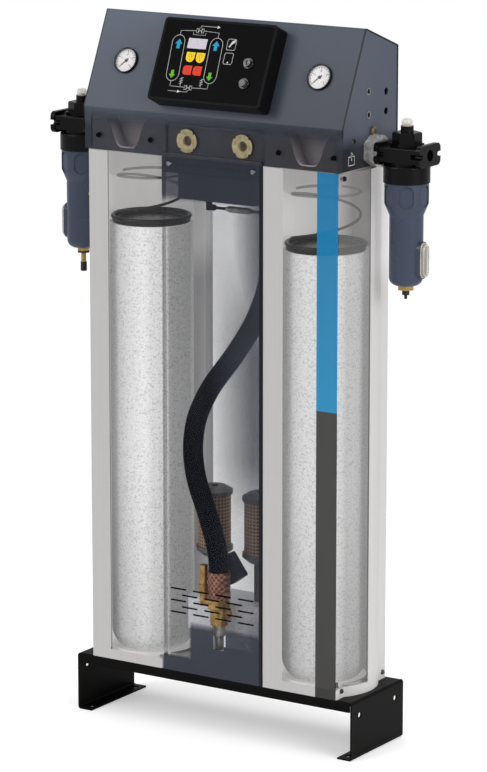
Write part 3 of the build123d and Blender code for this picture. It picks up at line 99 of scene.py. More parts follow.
def soft_box(name, place, target, size, power):
    """A square soft box that points at a place on the dryer."""
    lamp = bpy.data.lights.new(name, "AREA")
    lamp.size = size
    lamp.energy = power
    box = bpy.data.objects.new(name, lamp)
    box.location = place
    box.rotation_euler = (Vector(target) - Vector(place)).to_track_quat("-Z", "Y").to_euler()
    bpy.context.scene.collection.objects.link(box)


soft_box("front_soft_box", (-1.9, -3.6, 2.6), (0, 0, 0.6), 2.4, 62)
soft_box("right_soft_box", (3.9, -0.9, 2.0), (0, 0, 0.6), 2.2, 92)
soft_box("top_soft_box", (-0.6, 1.0, 3.8), (0, 0, 0.6), 2.0, 22)

world = bpy.data.worlds.new("studio")
bpy.context.scene.world = world
world.use_nodes = True
sky = world.node_tree
rays = add_node(sky, "LightPath").outputs
direct, through_glass = rays["Is Camera Ray"], rays["Is Transmission Ray"]
seen = add_node(sky, "Math", direct, through_glass, operation="MAXIMUM")
sky_strength = add_node(sky, "MapRange", seen, 0.0, 1.0, 0.55, 1.0)
set_inputs(sky.nodes["Background"], {"Color": srgb("FFFFFF"), "Strength": sky_strength})

bpy.ops.object.select_all(action="DESELECT")
bpy.ops.mesh.primitive_plane_add(size=24.0)
floor = bpy.context.object
floor.name = "floor"
# White paper with a trace of fibre, which fades out beyond the shadow
floor_paper, tree, shader, place = new_finish("white_paper_floor", Roughness=0.9)
fibre = add_node(tree, "TexNoise", {"Vector": place, "Scale": 60.0, "Detail": 4.0})
fibre_tint = add_node(tree, "ValToRGB", fibre, stops=((0.0, "FAFAFA"), (1.0, "FFFFFF")))
direct = add_node(tree, "LightPath").outputs["Is Camera Ray"]
glow = add_node(tree, "Math", direct, 0.32, operation="MULTIPLY")
reach = add_node(tree, "VectorMath", place, operation="LENGTH")
fade = add_node(tree, "MapRange", reach, 0.7, 1.7, 1.0, 0.0)
set_inputs(shader, {"Base Color": fibre_tint, "Alpha": fade})
set_inputs(shader, {"Emission Color": srgb("FFFFFF"), "Emission Strength": glow})
floor.data.materials.append(floor_paper)


# Base frame: one steel sheet folded into a bench, powder coated black.
# The coat is semi-gloss with a fine orange peel, a little greyer where hands have rubbed it.
def powder_coat(name, dark, pale, roughness, peel=1.2, depth=0.06, shine=0.3):
    """Powder coat: cloudy colour between two tones, and an orange peel of a given width in mm."""
    material, tree, shader, place = new_finish(name, Specular_IOR_Level=shine)
    cloud = add_node(tree, "TexNoise", {"Vector": place, "Scale": 9.0, "Detail": 3.0})
    tone = add_node(tree, "ValToRGB", cloud, stops=((0.2, dark), (0.8, pale)))
    gloss = add_node(tree, "MapRange", cloud, 0.0, 1.0, roughness - 0.05, roughness + 0.07)
    skin = add_node(tree, "TexNoise", {"Vector": place, "Scale": 1000 / peel, "Detail": 1.0})
    bump = add_node(tree, "Bump", {"Height": skin, "Strength": depth, "Distance": 0.0004})
    set_inputs(shader, {"Base Color": tone, "Roughness": gloss, "Normal": bump})
    return material


def finish_nodes(material, *names):
    """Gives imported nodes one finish."""
    for name in names:
        nodes[name].data.materials.clear()
        nodes[name].data.materials.append(material)


finish_nodes(powder_coat("black_powder_coat", "090808", "100F0E", 0.36, shine=0.05), "base_frame")


# Columns: satin anodised aluminium extrusions on the base's tabs, one screw at each corner.
# A window is drawn in each, as wide as the bore and on the side of the front right corner. Its
# wall is left out, so that bed, ring and spring show before the far side of the bore.
view_across = (0.840, 0.543, 0.0)
view_along = (-0.543, 0.840, 0.0)
window_half_width = 0.0712
window_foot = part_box("bottom_cap_left")[1][2] + 0.0012
# Just outside the bore's wall, and where the flank begins beyond the corner ports
bore_edge, flank_start, flank_radius = 0.0725, 0.0717, 0.088
# Inner edge of the vinyl stripe, and the height where its colour changes
stripe_start, stripe_change = 0.032, 0.584
for side in ("left", "right"):
    low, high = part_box(f"column_{side}")
    axis = ((low[0] + high[0]) / 2, (low[1] + high[1]) / 2, 0.0)
    half_depth = (high[1] - low[1]) / 2
    name = f"satin_anodised_aluminium_{side}"
    material, tree, shader, place = new_finish(name, Specular_IOR_Level=0.25)
    offset = add_node(tree, "VectorMath", place, axis, operation="SUBTRACT")
    level = add_node(tree, "VectorMath", offset, (1.0, 1.0, 0.0), operation="MULTIPLY")
    radius = add_node(tree, "VectorMath", level, operation="LENGTH")
    across = add_node(tree, "VectorMath", level, view_across, operation="DOT_PRODUCT")
    along = add_node(tree, "VectorMath", level, view_along, operation="DOT_PRODUCT")
    parts = add_node(tree, "SeparateXYZ", offset).outputs
    # Window: on the near side of the axis and no wider than the bore
    near = add_node(tree, "Math", along, 0.0, operation="LESS_THAN")
    off_centre = add_node(tree, "Math", across, operation="ABSOLUTE")
    within = add_node(tree, "Math", off_centre, window_half_width, operation="LESS_THAN")
    window = add_node(tree, "Math", near, within, operation="MULTIPLY")
    above_foot = add_node(tree, "Math", parts["Z"], window_foot, operation="GREATER_THAN")
    window = add_node(tree, "Math", window, above_foot, operation="MULTIPLY")
    # A thin veil of the extrusion's front and flank stays, and none of its bore, ducts or ports
    width_part = add_node(tree, "Math", parts["X"], operation="ABSOLUTE")
    beside = add_node(tree, "Math", width_part, flank_start, operation="GREATER_THAN")
    wide = add_node(tree, "Math", radius, flank_radius, operation="GREATER_THAN")
    flank = add_node(tree, "Math", beside, wide, operation="MULTIPLY")
    front = add_node(tree, "Math", parts["Y"], 0.001 - half_depth, operation="LESS_THAN")
    front_veil = add_node(tree, "Math", front, 0.06, operation="MULTIPLY")
    flank_share = 0.16 if side == "right" else 0.05
    flank_veil = add_node(tree, "Math", flank, flank_share, operation="MULTIPLY")
    veil = add_node(tree, "Math", front_veil, flank_veil, operation="MAXIMUM")
    # Drawing lines of the extrusion run up the column
    lines = add_node(tree, "Mapping", {"Vector": place, "Scale": (900.0, 900.0, 3.0)})
    streaks = add_node(tree, "TexNoise", {"Vector": lines, "Scale": 1.0, "Detail": 2.0})
    colour = add_node(tree, "ValToRGB", streaks, stops=((0.0, "BAB9B9"), (1.0, "C8C6C5")))
    bore_wall = add_node(tree, "Math", radius, bore_edge, operation="LESS_THAN")
    if side == "right":
        # Painted shade: the right part of the bore's far wall is drawn dark grey
        turned = add_node(tree, "MapRange", across, 0.012, 0.045, 0.0, 0.9)
        turned = add_node(tree, "Math", bore_wall, turned, operation="MULTIPLY")
        colour = add_node(tree, "Mix", {0: turned, 6: colour, 7: srgb("5C5A58")}, data_type="RGBA")
        # Vinyl stripe along the front's outer edge: blue above, dark grey below
        edge_strip = add_node(tree, "Math", parts["X"], stripe_start, operation="GREATER_THAN")
        stripe = add_node(tree, "Math", front, edge_strip, operation="MULTIPLY")
        upper = add_node(tree, "Math", parts["Z"], stripe_change, operation="GREATER_THAN")
        rise = add_node(tree, "MapRange", parts["Z"], 0.60, 0.95)
        tones = {0: rise, 6: srgb("1089BA"), 7: srgb("0075A8")}
        blue = add_node(tree, "Mix", tones, data_type="RGBA")
        vinyl = add_node(tree, "Mix", {0: upper, 6: srgb("383736"), 7: blue}, data_type="RGBA")
        colour = add_node(tree, "Mix", {0: stripe, 6: colour, 7: vinyl}, data_type="RGBA")
        stripe_veil = add_node(tree, "Math", stripe, 0.965, operation="MULTIPLY")
        veil = add_node(tree, "Math", veil, stripe_veil, operation="MAXIMUM")
    cleared = add_node(tree, "Math", 1.0, veil, operation="SUBTRACT")
    cleared = add_node(tree, "Math", window, cleared, operation="MULTIPLY")
    shown = add_node(tree, "Math", 1.0, cleared, operation="SUBTRACT")
    # Painted light: the far side of the bore glows as if lit like the outside, and so does the flank
    # by the filter
    bore_glow = add_node(tree, "Math", bore_wall, 0.6, operation="MULTIPLY")
    painted_light_by_filter = add_node(tree, "MapRange", parts["Z"], 0.76, 0.82, 0.14, 0.50)
    flank_glow = add_node(tree, "Math", flank, painted_light_by_filter, operation="MULTIPLY")
    glow = add_node(tree, "Math", bore_glow, flank_glow, operation="ADD")
    satin = add_node(tree, "MapRange", streaks, 0.0, 1.0, 0.42, 0.55)
    set_inputs(shader, {"Base Color": colour, "Roughness": satin, "Alpha": shown})
    set_inputs(shader, {"Emission Color": colour, "Emission Strength": glow})
    finish_nodes(material, f"column_{side}")


# Bottom caps: turned aluminium discs in the feet of the bores, which carry the beds.
# They are blasted, so they stay matt grey with a fine grit.
def blasted_metal(name, dark, pale, roughness, grit=2.0):
    """Blasted casting: speckled grey with a grit of a given width in mm."""
    material, tree, shader, place = new_finish(name, Metallic=0.6)
    grain = add_node(tree, "TexNoise", {"Vector": place, "Scale": 1000 / grit, "Detail": 3.0})
    tone = add_node(tree, "ValToRGB", grain, stops=((0.35, dark), (0.65, pale)))
    gloss = add_node(tree, "MapRange", grain, 0.0, 1.0, roughness - 0.08, roughness + 0.08)
    bump = add_node(tree, "Bump", {"Height": grain, "Strength": 0.2, "Distance": 0.0004})
    set_inputs(shader, {"Base Color": tone, "Roughness": gloss, "Normal": bump})
    return material


# Painted light: they glow, as if lit like the walls of the bores.
cap_finish = blasted_metal("blasted_aluminium", "AEADAC", "BAB8B6", 0.5)
cap_shader = cap_finish.node_tree.nodes["Principled BSDF"]
set_inputs(cap_shader, {"Emission Color": srgb("B6B5B4"), "Emission Strength": 0.5})
finish_nodes(cap_finish, "bottom_cap_left", "bottom_cap_right")


# Desiccant beds: bags packed with white beads of activated alumina, about 2.5 mm across.
# The beads are rough and chalky, with darker ones among them, and painted shade in the gaps between
# them.
material, tree, shader, place = new_finish("alumina_beads", Roughness=0.85)
beads = add_node(tree, "TexVoronoi", {"Vector": place, "Scale": 1000 / 2.5})
one_per_bead = add_node(tree, "SeparateXYZ", beads.outputs["Color"])
bead_tone = add_node(tree, "ValToRGB", one_per_bead, stops=((0.0, "B6B6B7"), (0.3, "D3D3D3")))
bead_gap_shade = add_node(tree, "MapRange", beads.outputs["Distance"], 0.25, 0.7, 1.0, 0.86)
tones = {0: 1.0, 6: bead_tone, 7: bead_gap_shade}
bead_colour = add_node(tree, "Mix", tones, data_type="RGBA", blend_type="MULTIPLY")
# Drawn shaded towards the bed's left side and foot, and to the right of the right column's stripe
low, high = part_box("desiccant_bed_right")
parts = add_node(tree, "SeparateXYZ", place).outputs
side_sign = add_node(tree, "Math", parts["X"], operation="SIGN")
bed_axis = add_node(tree, "Math", side_sign, (low[0] + high[0]) / 2, operation="MULTIPLY")
off_axis = add_node(tree, "Math", parts["X"], bed_axis, operation="SUBTRACT")
behind_axis = add_node(tree, "Math", parts["Y"], (low[1] + high[1]) / 2, operation="SUBTRACT")
level = add_node(tree, "CombineXYZ", off_axis, behind_axis)
across = add_node(tree, "VectorMath", level, view_across, operation="DOT_PRODUCT")
left_shade = add_node(tree, "MapRange", across, -0.066, -0.012, 0.36, 0.0)
right_shade = add_node(tree, "MapRange", across, 0.014, 0.034, 0.0, 0.36)
right_shade = add_node(tree, "Math", right_shade, side_sign, operation="MULTIPLY", use_clamp=True)
foot_shade = add_node(tree, "MapRange", parts["Z"], 0.12, 0.45, 0.22, 0.0)
shade = add_node(tree, "Math", left_shade, right_shade, operation="ADD")
shade = add_node(tree, "Math", shade, foot_shade, operation="ADD")
lit = add_node(tree, "Math", 1.0, shade, operation="SUBTRACT")
bead_colour = add_node(tree, "VectorMath", {0: bead_colour, "Scale": lit}, operation="SCALE")
heaps = {"Height": beads.outputs["Distance"], "Strength": 0.15, "Distance": 0.002}
bead_bump = add_node(tree, "Bump", heaps, invert=True)
set_inputs(shader, {"Base Color": bead_colour, "Normal": bead_bump})
# Painted light: the beads glow with their own shaded colour
set_inputs(shader, {"Emission Color": bead_colour, "Emission Strength": 0.48})
finish_nodes(material, "desiccant_bed_left", "desiccant_bed_right")


# Retainers and springs: a pressed plate with a rolled rim on each bed, held down by a coil spring.
# Both are phosphated dark grey, dull with a faint crystal grain.
# The plate is drawn paler towards its middle, inside its rim, and the springs' upper turns are drawn
# faint.
def open_finish(material):
    """A finish's tree and shader, the place in Object coordinates, and that place's X, Y and Z."""
    tree = material.node_tree
    place = add_node(tree, "TexCoord").outputs["Object"]
    return tree, tree.nodes["Principled BSDF"], place, add_node(tree, "SeparateXYZ", place).outputs


def colour_over(material, mask, code):
    """Lays a second colour over that of a finish, as far as a mask says."""
    tree = material.node_tree
    shader = tree.nodes["Principled BSDF"]
    under = shader.inputs["Base Color"].links[0].from_socket
    mixed = add_node(tree, "Mix", {0: mask, 6: under, 7: srgb(code)}, data_type="RGBA")
    set_inputs(shader, {"Base Color": mixed})


for side in ("left", "right"):
    low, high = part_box(f"retainer_ring_{side}")
    axis = ((low[0] + high[0]) / 2, (low[1] + high[1]) / 2, 0.0)
    plate = powder_coat(f"dark_phosphated_plate_{side}", "0A0A0B", "1A1A1C", 0.3, shine=0.2)
    tree, shader, place, parts = open_finish(plate)
    offset = add_node(tree, "VectorMath", place, axis, operation="SUBTRACT")
    level = add_node(tree, "VectorMath", offset, (1.0, 1.0, 0.0), operation="MULTIPLY")
    radius = add_node(tree, "VectorMath", level, operation="LENGTH")
    colour_over(plate, add_node(tree, "MapRange", radius, 0.020, 0.054, 0.9, 0.0), "8A8A8C")
    finish_nodes(plate, f"retainer_ring_{side}")
spring_wire = powder_coat("phosphated_spring_wire", "121214", "202024", 0.4, shine=0.2)
tree, shader, place, parts = open_finish(spring_wire)
set_inputs(shader, {"Alpha": add_node(tree, "MapRange", parts["Z"], 0.893, 0.912, 1.0, 0.32)})
finish_nodes(spring_wire, "bed_spring_left", "bed_spring_right")


# Manifold: one aluminium casting on top of both columns, painted dark grey.
# It has an open scoop over each column, and a pale painted highlight is drawn along each scoop's
# edge.
# Painted light: the scoops are drawn paler towards their lips. The spigots inside the columns are
# drawn nearly clear.
casting_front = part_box("top_manifold")[0][1]
head_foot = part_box("column_left")[1][2]
column_x = (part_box("column_right")[0][0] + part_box("column_right")[1][0]) / 2
casting_paint = powder_coat("dark_grey_painted_casting", "2E2D32", "3E3C40", 0.36, shine=0.4)
tree, shader, place, parts = open_finish(casting_paint)
# The scoops' walls lie behind the casting's front, to the outside of its middle part
outer_part = add_node(tree, "Math", parts["X"], operation="ABSOLUTE")
recessed = add_node(tree, "Math", parts["Y"], casting_front + 0.0035, operation="GREATER_THAN")
beside = add_node(tree, "Math", outer_part, 0.112, operation="GREATER_THAN")
recessed = add_node(tree, "Math", recessed, beside, operation="MULTIPLY")
lip_painted_light = add_node(tree, "MapRange", parts["Z"], head_foot + 0.006, head_foot + 0.080, 0.9, 0.0)
colour_over(casting_paint, add_node(tree, "Math", recessed, lip_painted_light, operation="MULTIPLY"), "A69C9E")
# The spigots lie inside the bores, below the head's foot
across = add_node(tree, "Math", outer_part, column_x, operation="SUBTRACT")
level = add_node(tree, "CombineXYZ", across, parts["Y"])
radius = add_node(tree, "VectorMath", level, operation="LENGTH")
in_bore = add_node(tree, "Math", radius, 0.078, operation="LESS_THAN")
below = add_node(tree, "Math", parts["Z"], head_foot - 0.0005, operation="LESS_THAN")
spigot = add_node(tree, "Math", in_bore, below, operation="MULTIPLY")
set_inputs(shader, {"Alpha": add_node(tree, "MapRange", spigot, 0.0, 1.0, 1.0, 0.07)})
finish_nodes(casting_paint, "top_manifold")


def plated_metal(name, dark, pale, roughness, metallic=1.0, patch=9.0):
    """Turned or plated metal: tarnish between two tones in patches of a given width in mm."""
    material, tree, shader, place = new_finish(name, Metallic=metallic)
    tarnish = add_node(tree, "TexNoise", {"Vector": place, "Scale": 1000 / patch, "Detail": 5.0})
    tone = add_node(tree, "ValToRGB", tarnish, stops=((0.35, dark), (0.65, pale)))
    gloss = add_node(tree, "MapRange", tarnish, 0.0, 1.0, roughness - 0.06, roughness + 0.1)
    set_inputs(shader, {"Base Color": tone, "Roughness": gloss})
    return material


def tube_along(name, points, radius, closed=False):
    """A round wire on a smooth line through control points, as a mesh with its place in it."""
    curve = bpy.data.curves.new(name, "CURVE")
    curve.dimensions = "3D"
    curve.bevel_depth = radius
    curve.bevel_resolution = 2
    curve.use_fill_caps = True
    line = curve.splines.new("NURBS")
    line.points.add(len(points) - 1)
    for point, place in zip(line.points, points):
        point.co = (*place, 1.0)
    line.order_u = 3
    line.use_endpoint_u = not closed
    line.use_cyclic_u = closed
    line.resolution_u = 6
    wire = bpy.data.objects.new(name, curve)
    bpy.context.scene.collection.objects.link(wire)
    bpy.ops.object.select_all(action="DESELECT")
    wire.select_set(True)
    bpy.context.view_layer.objects.active = wire
    bpy.ops.object.convert(target="MESH")
    bpy.ops.object.shade_smooth()
    return bpy.context.object


def join_pieces(name, pieces):
    """Joins finished meshes into one piece."""
    bpy.ops.object.select_all(action="DESELECT")
    for piece in pieces:
        piece.select_set(True)
    bpy.context.view_layer.objects.active = pieces[0]
    bpy.ops.object.join()
    joined = bpy.context.object
    joined.name = name
    return joined


# The painted highlight on each scoop's edge follows its flared outline on the casting's front
scoop_edge = (
    (0.056, 0.0605), (0.044, 0.0575), (0.033, 0.041),
    (0.026, 0.018), (0.0150, 0.0072), (0.0, 0.0068),
)
edges = []
for side, scoop_x in (("left", -0.170), ("right", 0.183)):
    half = [(x, head_foot + z) for x, z in scoop_edge]
    outline = [(scoop_x - x, casting_front + 0.0052, z) for x, z in half]
    outline += [(scoop_x + x, casting_front + 0.0052, z) for x, z in reversed(half[:-1])]
    edges.append(tube_along(f"scoop_edge_{side}", outline, 0.0011))
scoop_edges = join_pieces("scoop_edges", edges)
scoop_edges.data.materials.append(plated_metal("scoop_edge_painted_highlight", "B8B0B0", "DAD2D2", 0.4, 0.1))
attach(scoop_edges, "frame")


# Valve seats and poppets: turned bronze rings in the manifold's front, and darker discs behind.
# The bronze is pale and dull.
for side in ("left", "right"):
    low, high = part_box(f"valve_seat_{side}")
    bronze = plated_metal(f"pale_bronze_{side}", "B8A678", "DCCD9E", 0.5, 0.15)
    tree, shader, place, parts = open_finish(bronze)
    middle = ((low[0] + high[0]) / 2, 0.0, (low[2] + high[2]) / 2)
    offset = add_node(tree, "VectorMath", place, middle, operation="SUBTRACT")
    disc = add_node(tree, "VectorMath", offset, (1.0, 0.0, 1.0), operation="MULTIPLY")
    radius = add_node(tree, "VectorMath", disc, operation="LENGTH")
    # Painted shade: the notches and the sunk rim are drawn dark brown
    rim = add_node(tree, "Math", radius, 0.0158, operation="GREATER_THAN")
    sunk = add_node(tree, "Math", parts["Y"], low[1] + 0.0008, operation="GREATER_THAN")
    colour_over(bronze, add_node(tree, "Math", rim, sunk, operation="MULTIPLY"), "2C2517")
    finish_nodes(bronze, f"valve_seat_{side}")
disc_bronze = plated_metal("dull_bronze_disc", "3A3120", "75683F", 0.45, 0.2)
finish_nodes(disc_bronze, "valve_poppet_left", "valve_poppet_right")


# Front and rear panels: folded steel trays between the columns, screwed to the manifold.
# The front one is slate powder coat, drawn see-through above its solid foot and darker towards the
# right column. The rear one is pale grey and drawn nearly clear.
front_coat = powder_coat("slate_see_through_coat", "30343F", "3A3E4A", 0.36, depth=0.01)
tree, shader, place, parts = open_finish(front_coat)
# Veil: how solid the sheet is drawn, denser upwards and towards the right column
veil = add_node(tree, "MapRange", parts["Z"], 0.45, 0.95, 0.08, 0.22)
right_edge = add_node(tree, "MapRange", parts["X"], 0.040, 0.094, 0.0, 0.50)
middle = add_node(tree, "MapRange", parts["X"], 0.0, 0.080, 0.0, 0.56)
below_top = add_node(tree, "MapRange", parts["Z"], 0.66, 0.84, 1.0, 0.0)
middle = add_node(tree, "Math", middle, below_top, operation="MULTIPLY")
right_edge = add_node(tree, "Math", right_edge, middle, operation="MAXIMUM")
thinning = add_node(tree, "MapRange", parts["Z"], 0.38, 0.48, 0.35, 1.0)
right_edge = add_node(tree, "Math", right_edge, thinning, operation="MULTIPLY")
veil = add_node(tree, "Math", veil, right_edge, operation="ADD")
# Thinner yet before the left bed and at the left fold
left_part = add_node(tree, "MapRange", parts["X"], -0.094, -0.030, 0.30, 1.0)
veil = add_node(tree, "Math", veil, left_part, operation="MULTIPLY")
# Dark band before the gallery at the top
band = add_node(tree, "MapRange", parts["Z"], 0.900, 0.914, 0.0, 0.62)
veil = add_node(tree, "Math", veil, band, operation="MAXIMUM")
# Solid foot, right of the left bed's outline
foot = add_node(tree, "MapRange", parts["Z"], 0.178, 0.192, 0.86, 0.0)
beyond_bed = add_node(tree, "MapRange", parts["X"], -0.046, -0.041, 0.06, 1.0)
under_bed = add_node(tree, "MapRange", parts["Z"], 0.123, 0.129, 1.0, 0.0)
beyond_bed = add_node(tree, "Math", beyond_bed, under_bed, operation="MAXIMUM")
foot = add_node(tree, "Math", foot, beyond_bed, operation="MULTIPLY")
# Clear spot in the foot, before the drain's check valve
spot_x, spot_half_width, spot_top = 0.0148, 0.0125, 0.149
aside = add_node(tree, "Math", parts["X"], spot_x, operation="SUBTRACT")
aside = add_node(tree, "Math", aside, operation="ABSOLUTE")
aside = add_node(tree, "Math", aside, spot_half_width, operation="GREATER_THAN")
beneath = add_node(tree, "Math", parts["Z"], spot_top, operation="LESS_THAN")
masked = add_node(tree, "Math", aside, beneath, operation="MAXIMUM")
foot = add_node(tree, "Math", foot, masked, operation="MULTIPLY")
veil = add_node(tree, "Math", veil, foot, operation="MAXIMUM")
# Painted shade: the fold along the right column is drawn nearly black, as the shadow gap beside the
# column
shadow_gap_fold = add_node(tree, "Math", parts["X"], 0.0935, operation="GREATER_THAN")
colour_over(front_coat, shadow_gap_fold, "101118")
fold_veil = add_node(tree, "Math", shadow_gap_fold, 0.97, operation="MULTIPLY")
set_inputs(shader, {"Alpha": add_node(tree, "Math", veil, fold_veil, operation="MAXIMUM")})
finish_nodes(front_coat, "front_panel")
rear_coat = powder_coat("pale_grey_clear_coat", "CDD1DC", "E0E3EC", 0.4, depth=0.01)
set_inputs(rear_coat.node_tree.nodes["Principled BSDF"], {"Alpha": 0.16})
finish_nodes(rear_coat, "rear_panel")


def laid_on(piece, place):
    """Makes a flat curve or text a mesh, with its place in the mesh."""
    bpy.ops.object.select_all(action="DESELECT")
    piece.select_set(True)
    bpy.context.view_layer.objects.active = piece
    bpy.ops.object.convert(target="MESH")
    piece = bpy.context.object
    piece.data.transform(place)
    return piece


def flat_shape(name, outlines, place, thickness=0.00006):
    """Ink inside closed outlines, given in millimetres."""
    curve = bpy.data.curves.new(name, "CURVE")
    curve.dimensions = "2D"
    curve.fill_mode = "BOTH"
    curve.extrude = thickness
    for outline in outlines:
        edge = curve.splines.new("POLY")
        edge.points.add(len(outline) - 1)
        for point, (x, y) in zip(edge.points, outline):
            point.co = (x / 1000, y / 1000, 0, 1)
        edge.use_cyclic_u = True
    shape = bpy.data.objects.new(name, curve)
    bpy.context.scene.collection.objects.link(shape)
    return laid_on(shape, place)


def arc(x, y, radius, start, end, steps=10):
    """Points along an arc, with its angles in degrees."""
    turns = [radians(start + (end - start) * i / steps) for i in range(steps + 1)]
    return [(x + radius * cos(turn), y + radius * sin(turn)) for turn in turns]


# The front panel's slots stay black although it is see-through: a thin dark film fills each, as
# painted shadow for the dark behind the openings.
# The rows stand 10.2 mm apart, and each slot is 31.6 mm long and 2.8 mm high.
slot_plane = Matrix(((1, 0, 0), (0, 0, -1), (0, 1, 0))).to_4x4()
slot_plane = Matrix.Translation((0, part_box("front_panel")[0][1] + 0.001, 0.2236)) @ slot_plane
slot_places = [(22.35 * i, 20.4 * j) for i in (-3, -1, 1, 3) for j in (-1, 0, 1)]
slot_places += [(44.7 * i, 10.2 * j) for i in (-1, 0, 1) for j in (-1, 1)]
slot_outlines = [
    arc(x + 14.4, z, 1.4, -90, 90, 6) + arc(x - 14.4, z, 1.4, 90, 270, 6) for x, z in slot_places
]
slot_shadow_films = flat_shape("slot_shadow_films", slot_outlines, slot_plane, 0.0002)
slot_shadow_black = powder_coat("black_slot_painted_shadow", "060607", "0E0E10", 0.7, shine=0.05)
slot_shadow_films.data.materials.append(slot_shadow_black)
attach(slot_shadow_films, "frame")


# Head: a cover folded from one steel sheet over two end pans, blue-grey powder coat.
# The upright strip below the fold is drawn see-through, so that casting and valves show; the end
# pans are drawn darker there.
side_coat = powder_coat("blue_grey_powder_coat", "474D5B", "505665", 0.34)
tree, shader, place, parts = open_finish(side_coat)
colour_over(side_coat, add_node(tree, "MapRange", parts["Z"], 1.012, 1.034, 0.9, 0.0), "1C1D22")
finish_nodes(side_coat, "head_side_left", "head_side_right")
strip_coat = powder_coat("blue_grey_coat_with_clear_strip", "474D5B", "505664", 0.34)
tree, shader, place, parts = open_finish(strip_coat)
cover_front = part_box("head_cover")[0][1]
strip_front = add_node(tree, "Math", parts["Y"], cover_front + 0.003, operation="LESS_THAN")
strip_fade = add_node(tree, "MapRange", parts["Z"], 1.026, 1.050, 0.88, 0.0)
strip = add_node(tree, "Math", strip_front, strip_fade, operation="MULTIPLY")
strip_alpha = add_node(tree, "Math", 1.0, strip, operation="SUBTRACT")
# Painted light and shade: the front is drawn darker towards its lower right corner and lighter
# towards its upper left, and the back keeps the plain tone
upwards = add_node(tree, "MapRange", parts["Z"], 1.05, 1.19, 0.56, 0.92)
leftwards = add_node(tree, "MapRange", parts["X"], -0.15, 0.15, 0.42, 0.0)
front_light_and_shade = add_node(tree, "Math", upwards, leftwards, operation="ADD")
front_light_and_shade = add_node(tree, "MapRange", parts["Y"], 0.0, 0.03, front_light_and_shade, 1.0)
coat = shader.inputs["Base Color"].links[0].from_socket
coat = add_node(tree, "VectorMath", {0: coat, "Scale": front_light_and_shade}, operation="SCALE")
set_inputs(shader, {"Base Color": coat, "Alpha": strip_alpha})
# Painted shade: a dark line at each end stands for the shadow gap at the cover's edge
end_part = add_node(tree, "Math", parts["X"], operation="ABSOLUTE")
edge_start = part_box("head_cover")[1][0] - 0.0022
end_shadow_line = add_node(tree, "Math", end_part, edge_start, operation="GREATER_THAN")
colour_over(strip_coat, end_shadow_line, "1B1D24")
finish_nodes(strip_coat, "head_cover")

# Nickel eyelets line the two front cable holes in each end pan. Each is an 8.4 mm ring with a
# rim 1.9 mm broad and 0.7 mm thick.
hole_radius, rim_share, rim_thickness = 0.0042, 1.45, 0.0007
eyelets = []
for sx in (-1, 1):
    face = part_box("head_side_right")[1][0] * sx
    for run, rise in ((-0.004, 1.100), (-0.003, 1.062)):
        bpy.ops.object.select_all(action="DESELECT")
        bpy.ops.mesh.primitive_circle_add(vertices=24, radius=hole_radius)
        bpy.ops.object.mode_set(mode="EDIT")
        bpy.ops.mesh.extrude_region_move()
        bpy.ops.transform.resize(value=(rim_share, rim_share, rim_share))
        bpy.ops.mesh.select_all(action="SELECT")
        bpy.ops.mesh.extrude_region_move(TRANSFORM_OT_translate={"value": (0, 0, rim_thickness)})
        bpy.ops.mesh.select_all(action="SELECT")
        bpy.ops.mesh.normals_make_consistent(inside=False)
        bpy.ops.object.mode_set(mode="OBJECT")
        eyelet = bpy.context.object
        outward = Matrix.Rotation(sx * pi / 2, 4, "Y")
        eyelet.data.transform(Matrix.Translation((face, run, rise)) @ outward)
        eyelets.append(eyelet)
cable_eyelets = join_pieces("cable_eyelets", eyelets)
cable_eyelets.data.materials.append(plated_metal("nickel_eyelet", "9A9AA0", "C4C4CA", 0.3))
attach(cable_eyelets, "frame")


# Outlet sign on the right pan: a printed outline of an arrow that leaves a box, 18 mm wide
def ink_line(name, points, width, place, closed=False):
    """A printed line of a given width, both in millimetres, laid on a plane."""
    curve = bpy.data.curves.new(name, "CURVE")
    curve.dimensions = "3D"
    curve.bevel_depth = width / 2000
    curve.bevel_resolution = 1
    line = curve.splines.new("POLY")
    line.points.add(len(points) - 1)
    for point, (x, y) in zip(line.points, points):
        point.co = (x / 1000, y / 1000, 0, 1)
    line.use_cyclic_u = closed
    stroke = bpy.data.objects.new(name, curve)
    bpy.context.scene.collection.objects.link(stroke)
    return laid_on(stroke, place @ Matrix.Diagonal((1, 1, 0.12, 1)))


def printing_ink(name, code, thin, glow=0.0):
    """Screen-printing ink: a little thinner and darker in places."""
    material, tree, shader, place = new_finish(name, Roughness=0.45, Specular_IOR_Level=0.2)
    cover = add_node(tree, "TexNoise", {"Vector": place, "Scale": 700.0, "Detail": 2.0})
    tone = add_node(tree, "ValToRGB", cover, stops=((0.3, thin), (0.6, code)))
    set_inputs(shader, {"Base Color": tone})
    if glow:
        set_inputs(shader, {"Emission Color": srgb(code), "Emission Strength": glow})
    return material


pan_face = Matrix(((0, 0, 1), (1, 0, 0), (0, 1, 0))).to_4x4()
pan_face = Matrix.Translation((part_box("head_side_right")[1][0] + 0.0001, -0.055, 0.997)) @ pan_face
tray = [(-3, 4), (-9, 4), (-9, -10), (9, -10), (9, 4), (3, 4)]
arrow = [(0, -3), (0, 11), (-4, 6), (0, 11), (4, 6)]
sign_lines = [ink_line("outlet_sign_line", outline, 1.4, pan_face) for outline in (tray, arrow)]
outlet_sign = join_pieces("outlet_sign", sign_lines)
outlet_sign.data.materials.append(printing_ink("white_sign_ink", "E2E2E2", "BEBEC0"))
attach(outlet_sign, "frame")


# Control box: a moulded black housing with a printed film let into its face.
# The moulding is satin black with a fine spark-eroded grain, and the film is a smoother black.
def moulded_plastic(name, dark, pale, roughness, grain=0.7):
    """Moulded plastic with an eroded grain of a given width in mm."""
    return powder_coat(name, dark, pale, roughness, peel=grain, depth=0.08, shine=0.1)


